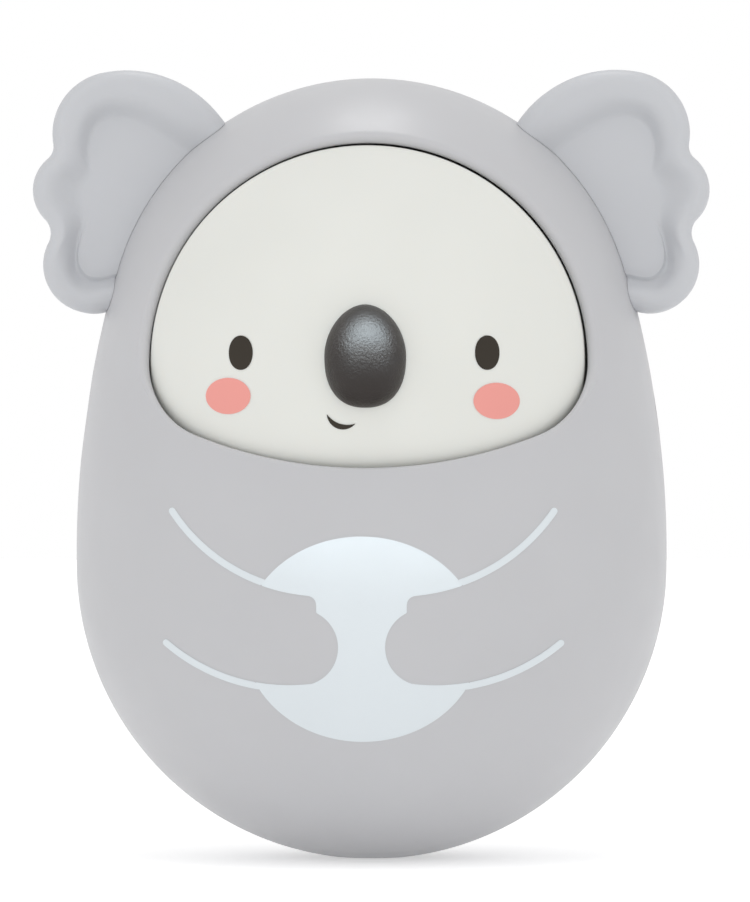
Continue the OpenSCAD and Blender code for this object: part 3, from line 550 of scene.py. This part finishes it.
EAR_BACK_DEEP = 2.0
EAR_DISH = 2.35
EAR_GROOVE = 0.5
EAR_BLUR = 60
EAR_STEEP = 2.2
EAR_CRISP = 1.5
EAR_GAP = 0.05
EAR_MIDDLE = (EAR_BASE_X + 3.9, EAR_BASE_Z + 1.4)
EAR_FLOOR = [
    ((EAR_BASE_X + 4.5, EAR_BASE_Z + 9.4), 5.0),
    ((EAR_BASE_X + 8.0, EAR_BASE_Z - 10.0), 4.2),
    ((EAR_BASE_X - 4.0, EAR_BASE_Z - 9.3), 4.6),
    ((EAR_BASE_X - 7.5, EAR_BASE_Z + 0.5), 6.0),
]

# Bumps of the rim into the dish beside the two notches
BUMP_OUT = 1.6
BUMP_WIDTH = 0.2
LOW_BUMP_DROP = 4.0


def touching(a, b, radius):
    """Middle of the fillet of a radius that touches two circles on their outer side."""
    (ca, ra), (cb, rb) = a, b
    d = np.subtract(cb, ca)
    length = np.hypot(*d)
    p, q = ra + radius, rb + radius
    along = (p * p - q * q + length * length) / (2 * length)
    off = math.sqrt(p * p - along * along)
    u = d / length
    side = np.array([-u[1], u[0]]) if u[1] < 0 else np.array([u[1], -u[0]])
    return tuple(np.array(ca) + along * u + off * side)


def heading(a, b):
    """Angle of the direction from a to b in degrees."""
    return math.degrees(math.atan2(b[1] - a[1], b[0] - a[0]))


NOTCH_TOP = touching(EAR_TOP, EAR_MID, NOTCH_TOP_R)
NOTCH_LOW = touching(EAR_MID, EAR_LOW, NOTCH_LOW_R)


def ear_arcs():
    """Arcs of the ear's outline: middle, radius, from, to, points and whether hollow."""
    top, low = NOTCH_TOP, NOTCH_LOW
    top_from, top_to = heading(top, EAR_TOP[0]) % 360, heading(top, EAR_MID[0]) % 360
    low_from, low_to = heading(low, EAR_MID[0]) % 360, heading(low, EAR_LOW[0]) % 360
    return [
        (*EAR_BACK, 165, EAR_TOP_TURN, 44, False),
        (*EAR_TOP, EAR_TOP_TURN, heading(EAR_TOP[0], top), 48, False),
        (top, NOTCH_TOP_R, top_from, top_to, 24, True),
        (*EAR_MID, heading(EAR_MID[0], top), heading(EAR_MID[0], low), 40, False),
        (low, NOTCH_LOW_R, low_from, low_to, 24, True),
        (*EAR_LOW, heading(EAR_LOW[0], low), -110, 56, False),
        (*EAR_ROOT_LOW, -110, -180, 16, False),
        (*EAR_ROOT_TOP, 180, 165, 16, False),
    ]


def ring_blur(values, passes):
    """A closed run of values or points with its bumps evened out."""
    for _ in range(passes):
        values = (np.roll(values, 1, 0) + 2 * values + np.roll(values, -1, 0)) / 4
    return values


def ear_floor(turn):
    """Edge of the dish's floor in directions turn from the ear's middle: a band round four circles,
    pushed in by the rim's bumps beside the notches."""
    around = np.linspace(0, 2 * math.pi, 720, endpoint=False)
    reach = np.max(
        [
            (c[0] - EAR_MIDDLE[0]) * np.cos(around) + (c[1] - EAR_MIDDLE[1]) * np.sin(around) + r
            for c, r in EAR_FLOOR
        ], 0
    )
    lean = np.cos(around[None, :] - turn[:, None])
    far = np.min(np.where(lean > 0.05, reach[None, :] / np.maximum(lean, 0.05), 1e9), 1)
    for (x, z), drop in ((NOTCH_TOP, 0.0), (NOTCH_LOW, LOW_BUMP_DROP)):
        away = (turn - math.radians(heading(EAR_MIDDLE, (x, z - drop)))) / BUMP_WIDTH
        far = far - BUMP_OUT * np.exp(-away ** 2)
    edge = np.stack([EAR_MIDDLE[0] + far * np.cos(turn), EAR_MIDDLE[1] + far * np.sin(turn)], -1)
    return ring_blur(edge, EAR_BLUR)


def ear_rings():
    """Closed rings of the ear from the middle of the dish over the rim to the back."""
    arcs = ear_arcs()
    middle = np.array(EAR_MIDDLE)
    rows = []

    def ring(inset):
        points = []
        for c, r, low, high, count, hollow in arcs:
            a = np.radians(np.linspace(low, high, count, endpoint=False))
            reach = r + inset if hollow else r - inset
            points.append(np.stack([c[0] + reach * np.cos(a), c[1] + reach * np.sin(a)], -1))
        return np.concatenate(points)

    crest_ring = ring(EAR_CREST)
    turn = np.arctan2(crest_ring[:, 1] - middle[1], crest_ring[:, 0] - middle[0])
    outwards = np.stack([np.cos(turn), np.sin(turn)], -1)
    foot_ring = ear_floor(turn)
    n = len(turn)
    top_share = smooth_step((np.sin(turn) - 0.35) / 0.5)
    bottom_share = smooth_step((-np.sin(turn) - 0.6) / 0.25)

    # Floor of the dish, with a groove along its bottom edge
    floor_y = EAR_DISH - EAR_FRONT
    for t in (0.08, 0.3, 0.55, 0.8):
        rows.append((middle + (foot_ring - middle) * t, np.full(n, floor_y)))
    for inset, depth in ((1.05, 0.0), (0.95, 0.1), (0.6, 0.9), (0.4, 1.0)):
        rows.append((foot_ring - outwards * inset, floor_y + EAR_GROOVE * depth * bottom_share))

    # Slope up to the crest: even at the side, late at the top and crisp at the bottom
    for t in np.linspace(1, 0, 22):
        soft = smooth_step(t)
        steep = smooth_step(t ** EAR_STEEP)
        crisp = smooth_step(t ** EAR_CRISP)
        fall = soft + (steep - soft) * top_share + (crisp - soft) * bottom_share
        groove = EAR_GROOVE * bottom_share * smooth_step((t - 0.5) / 0.5)
        slope_ring = ring_blur(crest_ring + (foot_ring - crest_ring) * t, int(EAR_BLUR * t))
        rows.append((slope_ring, -EAR_FRONT + EAR_DISH * fall + groove))

    # Rounded rim, side and flat back
    for a in np.radians(np.linspace(90, 0, 12)[1:]):
        y = -EAR_FRONT + EAR_CREST_DEEP * (1 - math.sin(a))
        rows.append((ring(EAR_CREST * (1 - math.cos(a))), np.full(n, y)))
    for y in (-4.0, -1.5):
        rows.append((ring(0), np.full(n, y)))
    for a in np.radians(np.linspace(0, 90, 9)):
        y = EAR_REAR - EAR_BACK_DEEP * (1 - math.sin(a))
        rows.append((ring(EAR_BACK_ROUND * (1 - math.cos(a))), np.full(n, y)))
    back = ring(EAR_BACK_ROUND)
    for t in (0.8, 0.5, 0.2):
        even = ring_blur(back, int(EAR_BLUR * (1 - t)))
        rows.append((middle + (even - middle) * t, np.full(n, EAR_REAR)))
    return rows


def egg_solid(name, grow, rows=220, columns=256):
    """The whole egg as a closed solid, moved outwards by a distance, for cutting."""
    turn = np.radians(np.linspace(-90, 90, rows))
    outline = seam_outline(turn, grow)
    points = []
    for x, z in outline[1:-1]:
        a = np.linspace(0, 2 * math.pi, columns, endpoint=False)
        points.append(np.stack([x * np.cos(a), x * np.sin(a), np.full(columns, z)], -1))
    points = np.concatenate(points + [np.array([[0, 0, outline[0][1]], [0, 0, outline[-1][1]]])])
    return add_mesh(name, points, ring_faces(rows - 2, columns))


def ear(side, node):
    """One ear, seated on the body's surface."""
    rows = ear_rings()
    n = len(rows[0][0])
    points = [(side * x, y, z) for xz, ys in rows for (x, z), y in zip(xz, ys)]
    middle = np.mean(rows[0][0], 0)
    back_middle = np.mean(rows[-1][0], 0)
    points.append((side * middle[0], EAR_DISH - EAR_FRONT, middle[1]))
    points.append((side * back_middle[0], EAR_REAR, back_middle[1]))
    obj = add_mesh(node + "_skin", points, ring_faces(len(rows), n))
    boolean(obj, egg_solid("ear_seat", EAR_GAP), "DIFFERENCE")
    shade(obj.data, 40)
    return finish_piece(obj, "body", "ear_grey", EAR_GREY, node)


# Head


def face_y(across, turn):
    """Front of the face at distances across from the pivot line, in directions turn."""
    dome = HEAD_Y - HEAD_R + FACE_BEND * across ** 2 + FACE_DROP * across ** 6
    brow = smooth_step((np.sin(turn) - FACE_BROW_START) / FACE_BROW_SPAN)
    return dome - FACE_BROW_LIFT * brow * np.maximum(across - FACE_BROW, 0) ** 2


def face_shell():
    """Front of the head as a shell with a domed front, a rounded rim and a round inside."""
    columns = 256
    turn = np.linspace(0, 2 * math.pi, columns, endpoint=False)
    rim = FACE_RIM - FACE_RIM_SHIFT * np.cos(turn)
    edge = rim - FACE_RIM_ROUND
    edge_y = face_y(edge, turn)
    edge_slope = (edge_y - face_y(edge - 0.1, turn)) / 0.1
    rings = []
    for t in np.linspace(0.01, 1, 72):
        rings.append((t * edge, face_y(t * edge, turn)))
    for a in np.radians(np.linspace(15, 90, 6)):
        back = FACE_RIM_ROUND * (edge_slope * math.sin(a) + 1 - math.cos(a))
        rings.append((edge + FACE_RIM_ROUND * math.sin(a), edge_y + back))
    rim_y = rings[-1][1]
    back_y = HEAD_Y - math.sqrt(HEAD_R ** 2 - FACE_RIM_BACK ** 2)
    for t in (0.25, 0.5, 0.75):
        rings.append((rim + (FACE_RIM_BACK - rim) * t, rim_y + (back_y - rim_y) * t))
    last = math.acos(FACE_PART / HEAD_R)
    last_in = math.acos(FACE_PART / (HEAD_R - HEAD_WALL))
    sweep = [(HEAD_R, a) for a in np.linspace(math.asin(FACE_RIM_BACK / HEAD_R), last, 9)]
    sweep += [(HEAD_R - HEAD_WALL, a) for a in np.linspace(last_in, 0.012, 30)]
    for r, a in sweep:
        rings.append((np.full(columns, r * math.sin(a)), np.full(columns, HEAD_Y - r * math.cos(a))))
    points = []
    for across, y in rings:
        points += list(zip(across * np.cos(turn), y, HEAD_Z + across * np.sin(turn)))
    points += [(0, HEAD_Y - HEAD_R, HEAD_Z), (0, HEAD_Y - HEAD_R + HEAD_WALL, HEAD_Z)]
    obj = add_mesh("face_skin", points, ring_faces(len(rings), columns))
    return finish_piece(obj, "head", "head_white", HEAD_WHITE, "face_shell")


def nose():
    """Nose button: an egg-like outline that swells out of the face."""
    columns = 128
    swell = HEAD_R + NOSE_OUT - HEAD_Y + NOSE_RIM_Y
    turn = np.linspace(0, 2 * math.pi, columns, endpoint=False)
    power = 2 / np.where(np.sin(turn) > 0, NOSE_TOP_POWER, NOSE_LOW_POWER)
    across = NOSE_W / 2 * np.sign(np.cos(turn)) * np.abs(np.cos(turn)) ** power
    up = NOSE_H / 2 * np.sign(np.sin(turn)) * np.abs(np.sin(turn)) ** power
    sweep = [(1.0, NOSE_RIM_Y + NOSE_SINK), (1.0, NOSE_RIM_Y)]
    for a in np.radians(np.linspace(3, 88.5, 40)):
        sweep.append((math.cos(a), NOSE_RIM_Y - swell * math.sin(a)))
    points = []
    for size, y in sweep:
        points += [(size * x, y, NOSE_Z + size * z) for x, z in zip(across, up)]
    points += [(0, NOSE_RIM_Y + NOSE_SINK, NOSE_Z), (0, NOSE_RIM_Y - swell, NOSE_Z)]
    obj = add_mesh("nose_button", points, ring_faces(len(sweep), columns))
    return finish_piece(obj, "head", "nose_black", NOSE_BLACK, "nose")


# Prints, as thin layers of ink that sit a little to the left of the middle

INK_LOW = -0.05
INK_HIGH = 0.06
FACE_INK_GAIN = 1.3
PRINT_DX = -0.3
PRINT_STEP = 0.2
OVAL_MARGIN = 0.3
EYE_X, EYE_Z = 19.7, CROWN_Z - 2.2
EYE_W, EYE_H = 3.9, 5.5
EYE_POWER = 2.1
CHEEK_X, CHEEK_Z = 21.5, CROWN_Z - 9.5
CHEEK_W, CHEEK_H = 7.4, 5.8
CHEEK_DROP = 0.4
MOUTH_X, MOUTH_Z = -3.85, CROWN_Z - 12.78
MOUTH_TURN = math.radians(-18.5)
MOUTH_HALF = 2.4
MOUTH_LOW_SAG = 1.66
MOUTH_HIGH_SAG = 0.8
MOUTH_BOX = 3.2
MOUTH_STEP = 0.08
BELLY_W, BELLY_H, BELLY_Z = 18.9, 16.5, 37.4
BELLY_BOX_W, BELLY_BOX_H = BELLY_W + 0.5, BELLY_H + 0.5
ARMS_LOW, ARMS_HIGH = (-38.0, 20.0), (38.0, 65.0)
ARM_LINE = 1.1
ARM_UPPER = ((-6.0, BELLY_Z + 37.5), 30.0, 214.6, 262.0)
ARM_LOWER = ((-12.0, BELLY_Z + 23.4), 31.25, 230.7, 268.0)
PAW = ((-9.9, BELLY_Z - 1.2), 6.15)
THUMB = ((-14.0, BELLY_Z), (-7.2, BELLY_Z + 10.0))
THUMB_ROUND = 1.6


def on_face(x, z, lift):
    """Point of the face over x, z."""
    across = math.hypot(x, z - HEAD_Z)
    turn = math.atan2(z - HEAD_Z, x)
    return (x, float(face_y(across, turn)) - FACE_INK_GAIN * lift, z)


def on_body(x, z, lift):
    """Point of the body's front over x, z, which lie to the left with the other prints."""
    x = x + 2 * PRINT_DX
    return (x, -float(egg_depth(x, z, lift - shell_dip(x, z))), z)


def contour(field, low, high, step):
    """Flat faces that cover where a field is below 0, cut along its edge, and their corner points."""
    nx = int(math.ceil((high[0] - low[0]) / step))
    nz = int(math.ceil((high[1] - low[1]) / step))
    xs = low[0] + step * np.arange(nx + 1)
    zs = low[1] + step * np.arange(nz + 1)
    values = field(*np.meshgrid(xs, zs, indexing="ij"))
    values = np.where(np.abs(values) < 1e-6, -1e-6, values)
    index = {}
    points = []
    faces = []

    def corner(i, j):
        key = (i, j)
        if key not in index:
            index[key] = len(points)
            points.append((xs[i], zs[j]))
        return index[key]

    def crossing(a, b):
        key = (min(a, b), max(a, b))
        if key not in index:
            fa, fb = values[a], values[b]
            t = fa / (fa - fb)
            index[key] = len(points)
            points.append((xs[a[0]] + t * (xs[b[0]] - xs[a[0]]), zs[a[1]] + t * (zs[b[1]] - zs[a[1]])))
        return index[key]

    for i in range(nx):
        for j in range(nz):
            cell = [(i, j), (i + 1, j), (i + 1, j + 1), (i, j + 1)]
            if all(values[c] > 0 for c in cell):
                continue
            face = []
            for a, b in zip(cell, cell[1:] + cell[:1]):
                if values[a] < 0:
                    face.append(corner(*a))
                if (values[a] < 0) != (values[b] < 0):
                    face.append(crossing(a, b))
            if len(face) > 2:
                faces.append(tuple(face))
    return points, faces


def ink(name, fields, place, body, slot, material, node):
    """A print: flat shapes laid on a surface as a thin closed layer."""
    points = []
    faces = []
    for field, low, high, step in fields:
        flat, cover = contour(field, low, high, step)
        start = len(points)
        n = len(flat)
        points += [place(x, z, INK_HIGH) for x, z in flat]
        points += [place(x, z, INK_LOW) for x, z in flat]
        edges = {}
        for face in cover:
            faces.append(tuple(start + k for k in face))
            faces.append(tuple(start + n + k for k in reversed(face)))
            for a, b in zip(face, face[1:] + face[:1]):
                if (b, a) in edges:
                    del edges[(b, a)]
                else:
                    edges[(a, b)] = True
        faces += [(start + b, start + a, start + n + a, start + n + b) for a, b in edges]
    obj = add_mesh(name, points, faces, 50.0)
    return finish_piece(obj, body, slot, material, node)


def oval(x0, z0, width, height, power=2.0):
    """Field of an oval, with its box and a fitting step."""
    def field(x, z):
        across = np.abs((x - x0) * 2 / width) ** power
        up = np.abs((z - z0) * 2 / height) ** power
        return ((across + up) ** (1 / power) - 1) * min(width, height) / 2

    low = (x0 - width / 2 - OVAL_MARGIN, z0 - height / 2 - OVAL_MARGIN)
    high = (x0 + width / 2 + OVAL_MARGIN, z0 + height / 2 + OVAL_MARGIN)
    return field, low, high, min(width, height) / 16


def mouth_field(x, z):
    """Field of the crescent mouth."""
    u = (x - MOUTH_X) * math.cos(MOUTH_TURN) + (z - MOUTH_Z) * math.sin(MOUTH_TURN)
    v = -(x - MOUTH_X) * math.sin(MOUTH_TURN) + (z - MOUTH_Z) * math.cos(MOUTH_TURN)
    low_r = (MOUTH_HALF ** 2 + MOUTH_LOW_SAG ** 2) / (2 * MOUTH_LOW_SAG)
    high_r = (MOUTH_HALF ** 2 + MOUTH_HIGH_SAG ** 2) / (2 * MOUTH_HIGH_SAG)
    low = np.hypot(u, v - low_r + MOUTH_LOW_SAG) - low_r
    high = high_r - np.hypot(u, v - high_r + MOUTH_HIGH_SAG)
    return np.maximum(low, high)


def belly_oval(x, z):
    """Field of the belly's outline."""
    return (np.hypot(x / BELLY_W, (z - BELLY_Z) / BELLY_H) - 1) * BELLY_H


def rounded_max(a, b, width):
    """The larger of two fields, with a rounded corner where they cross."""
    near = np.maximum(width - np.abs(a - b), 0) / width
    return np.maximum(a, b) + near * near * width / 4


def arm_area(x, z):
    """Field of the arm and paw of either side, which stay in body grey."""
    x = -np.abs(x)
    (lc, lr, _, _), (uc, ur, _, _) = ARM_LOWER, ARM_UPPER
    below = np.hypot(x - lc[0], z - lc[1]) - (lr - ARM_LINE / 2)
    above = (ur + ARM_LINE / 2) - np.hypot(x - uc[0], z - uc[1])
    sleeve = x - PAW[0][0]
    paw = np.hypot(x - PAW[0][0], z - PAW[0][1]) - PAW[1]
    (x0, z0), (x1, z1) = THUMB
    thumb = np.maximum(np.maximum(x0 - x, x - x1), np.maximum(z0 - z, z - z1))
    hand = np.minimum(np.minimum(sleeve, paw), thumb)
    return np.maximum(below, rounded_max(above, hand, THUMB_ROUND))


def belly_field(x, z):
    """Field of the pale belly round the arms."""
    return np.maximum(belly_oval(x, z), -arm_area(x, z))


def arc_line(x, z, arc):
    """Field of a drawn line along an arc with round ends."""
    c, r, start, end = arc
    angle = np.degrees(np.arctan2(z - c[1], x - c[0])) % 360
    along = np.abs(np.hypot(x - c[0], z - c[1]) - r)
    tips = []
    for a in np.radians([start, end]):
        tips.append(np.hypot(x - c[0] - r * math.cos(a), z - c[1] - r * math.sin(a)))
    inside = (angle > start) & (angle < end)
    return np.where(inside, along, np.minimum(*tips)) - ARM_LINE / 2


def arms_field(x, z):
    """Field of the arm lines outside the belly, on both sides."""
    side = -np.abs(x)
    lines = np.minimum(arc_line(side, z, ARM_UPPER), arc_line(side, z, ARM_LOWER))
    return np.maximum(lines, -belly_oval(x, z))


def prints():
    """All printed areas of the face and the body; gives back the belly patch."""
    eyes = [oval(s * EYE_X + PRINT_DX, EYE_Z, EYE_W, EYE_H, EYE_POWER) for s in (-1, 1)]
    ink("eye_ink", eyes, on_face, "head", "ink_black", INK_BLACK, "eye_prints")
    cheeks = []
    for s in (-1, 1):
        cheeks.append(oval(s * CHEEK_X + 2 * PRINT_DX, CHEEK_Z - s * CHEEK_DROP, CHEEK_W, CHEEK_H))
    ink("cheek_ink", cheeks, on_face, "head", "ink_pink", INK_PINK, "cheek_prints")
    low = (MOUTH_X - MOUTH_BOX, MOUTH_Z - MOUTH_BOX)
    high = (MOUTH_X + MOUTH_BOX, MOUTH_Z + MOUTH_BOX)
    mouth = [(mouth_field, low, high, MOUTH_STEP)]
    ink("mouth_ink", mouth, on_face, "head", "ink_black", INK_BLACK, "mouth_print")
    low = (-BELLY_BOX_W, BELLY_Z - BELLY_BOX_H)
    high = (BELLY_BOX_W, BELLY_Z + BELLY_BOX_H)
    belly = [(belly_field, low, high, PRINT_STEP)]
    patch = ink("belly_ink", belly, on_body, "body", "ink_pale", INK_PALE, "belly_print")
    arms = [(arms_field, ARMS_LOW, ARMS_HIGH, PRINT_STEP)]
    ink("arm_ink", arms, on_body, "body", "ink_pale", INK_PALE, "arm_prints")
    return patch


# Inner pieces keep their CAD solids

INNER = {
    "body_screws": STEEL, "head_screws": STEEL, "nose_screw": STEEL, "head_weight_screw": STEEL,
    "base_screws": STEEL, "head_back": HEAD_WHITE, "head_weight": TURNED, "pivot_pin": TURNED,
    "pivot_washer": TURNED, "chime_rods": TURNED, "link_pin": TURNED, "clapper_pin": TURNED,
    "pivot_clip": SPRING, "base_weight": CAST, "pivot_bush": NATURAL, "weight_tray": NATURAL,
    "chime_bracket": NATURAL, "clapper_link": NATURAL, "chime_plate": BRASS, "clapper": BRASS,
}


def inner_pieces():
    """Gives each CAD node that stays its material."""
    for name, material in INNER.items():
        cad[name].data.materials.clear()
        cad[name].data.materials.append(material)


# Stage: floor, world, lights and camera

IMAGE_H = 902
MM_PER_PIXEL = 0.16629
SENSOR = 36.0
CAMERA_FAR = 1100.0
CAMERA_TURN = math.radians(1.2)
AIM_X = 0.55
AIM_Z = 67.5
WORLD_LIGHT = 0.83
FLOOR_HALF = 3000.0
FLOOR_GREY = 0.88
FLOOR_GLOW = 0.2
FLOOR_SEEN_GLOW = 0.4


def ray_share(tree):
    """1 for rays from the camera, from reflections and through glass, else 0."""
    path = tree.nodes.new("ShaderNodeLightPath")
    share = path.outputs["Is Camera Ray"]
    for name in ("Is Glossy Ray", "Is Transmission Ray"):
        either = tree.nodes.new("ShaderNodeMath")
        either.operation = "MAXIMUM"
        tree.links.new(share, either.inputs[0])
        tree.links.new(path.outputs[name], either.inputs[1])
        share = either.outputs[0]
    return share


def floor():
    """A pale floor with a faint glow, which looks white and keeps a soft shadow."""
    far = FLOOR_HALF
    points = [(-far, -far, 0), (far, -far, 0), (far, far, 0), (-far, far, 0)]
    obj = add_mesh("floor", points, [(0, 1, 2, 3)])
    material, tree, shader, _ = new_material("floor_white")
    shader.inputs["Base Color"].default_value = (FLOOR_GREY, FLOOR_GREY, FLOOR_GREY, 1)
    shader.inputs["Roughness"].default_value = 0.9
    shader.inputs["Specular IOR Level"].default_value = 0.1
    shader.inputs["Emission Color"].default_value = (1, 1, 1, 1)
    strength = tree.nodes.new("ShaderNodeMapRange")
    strength.inputs["To Min"].default_value = FLOOR_GLOW
    strength.inputs["To Max"].default_value = FLOOR_SEEN_GLOW
    tree.links.new(ray_share(tree), strength.inputs["Value"])
    tree.links.new(strength.outputs["Result"], shader.inputs["Emission Strength"])
    obj.data.materials.append(material)


def world():
    """White to the camera and to reflections, softer as a light."""
    made = bpy.data.worlds.new("studio")
    bpy.context.scene.world = made
    made.use_nodes = True
    tree = made.node_tree
    back = tree.nodes["Background"]
    back.inputs["Color"].default_value = (1, 1, 1, 1)
    strength = tree.nodes.new("ShaderNodeMapRange")
    strength.inputs["To Min"].default_value = WORLD_LIGHT
    strength.inputs["To Max"].default_value = 1.0
    tree.links.new(ray_share(tree), strength.inputs["Value"])
    tree.links.new(strength.outputs["Result"], back.inputs["Strength"])


def area_light(name, place, aim, size, watts, colour=(1, 1, 1), shine_on=()):
    """A soft lamp, placed and aimed in millimetres, which may only give some pieces a sheen."""
    data = bpy.data.lights.new(name, "AREA")
    data.shape = "RECTANGLE"
    data.size = size[0] * MM
    data.size_y = size[1] * MM
    data.energy = watts
    data.color = colour
    obj = bpy.data.objects.new(name, data)
    obj.location = Vector(place) * MM
    obj.rotation_euler = (Vector(aim) - Vector(place)).to_track_quat("-Z", "Y").to_euler()
    if shine_on:
        obj.visible_diffuse = False
        lit = bpy.data.collections.new(name + "_pieces")
        for piece in shine_on:
            lit.objects.link(piece)
        obj.light_linking.receiver_collection = lit
    bpy.context.scene.collection.objects.link(obj)


def camera():
    """A level camera straight in front, a hair to the right."""
    data = bpy.data.cameras.new("camera")
    data.sensor_width = SENSOR
    data.lens = SENSOR * CAMERA_FAR / (IMAGE_H * MM_PER_PIXEL)
    data.clip_end = 20.0
    obj = bpy.data.objects.new("camera", data)
    aim = Vector((AIM_X, 0, AIM_Z))
    back = Vector((math.sin(CAMERA_TURN), -math.cos(CAMERA_TURN), 0))
    obj.location = (aim + back * CAMERA_FAR) * MM
    obj.rotation_euler = (-back).to_track_quat("-Z", "Y").to_euler()
    bpy.context.scene.collection.objects.link(obj)
    bpy.context.scene.camera = obj


def stage(grey_pieces, glossy_pieces):
    """Floor, light and camera, with a sheen for the grey pieces and another for the glossy ones."""
    bpy.context.scene.view_settings.view_transform = "Standard"
    floor()
    world()
    area_light("top_light", (0, -400, 850), (0, 0, 70), (400, 400), 0.7)
    area_light("front_light", (0, -1300, 150), (0, 0, 70), (800, 800), 1.2)
    area_light("hood_shine", (0, 230, 890), (0, 0, 120), (200, 200), 2.4, shine_on=grey_pieces)
    area_light(
        "nose_shine", (60, -535, 590), (0, -48, 86), (1700, 640), 66.0, (0.78, 0.92, 1.0), glossy_pieces
    )
    camera()


grey_pieces = [front_shell(), rear_shell(), ear(1, "right_ear"), ear(-1, "left_ear")]
face_shell()
glossy_pieces = [nose(), prints()]
inner_pieces()
stage(grey_pieces, glossy_pieces)
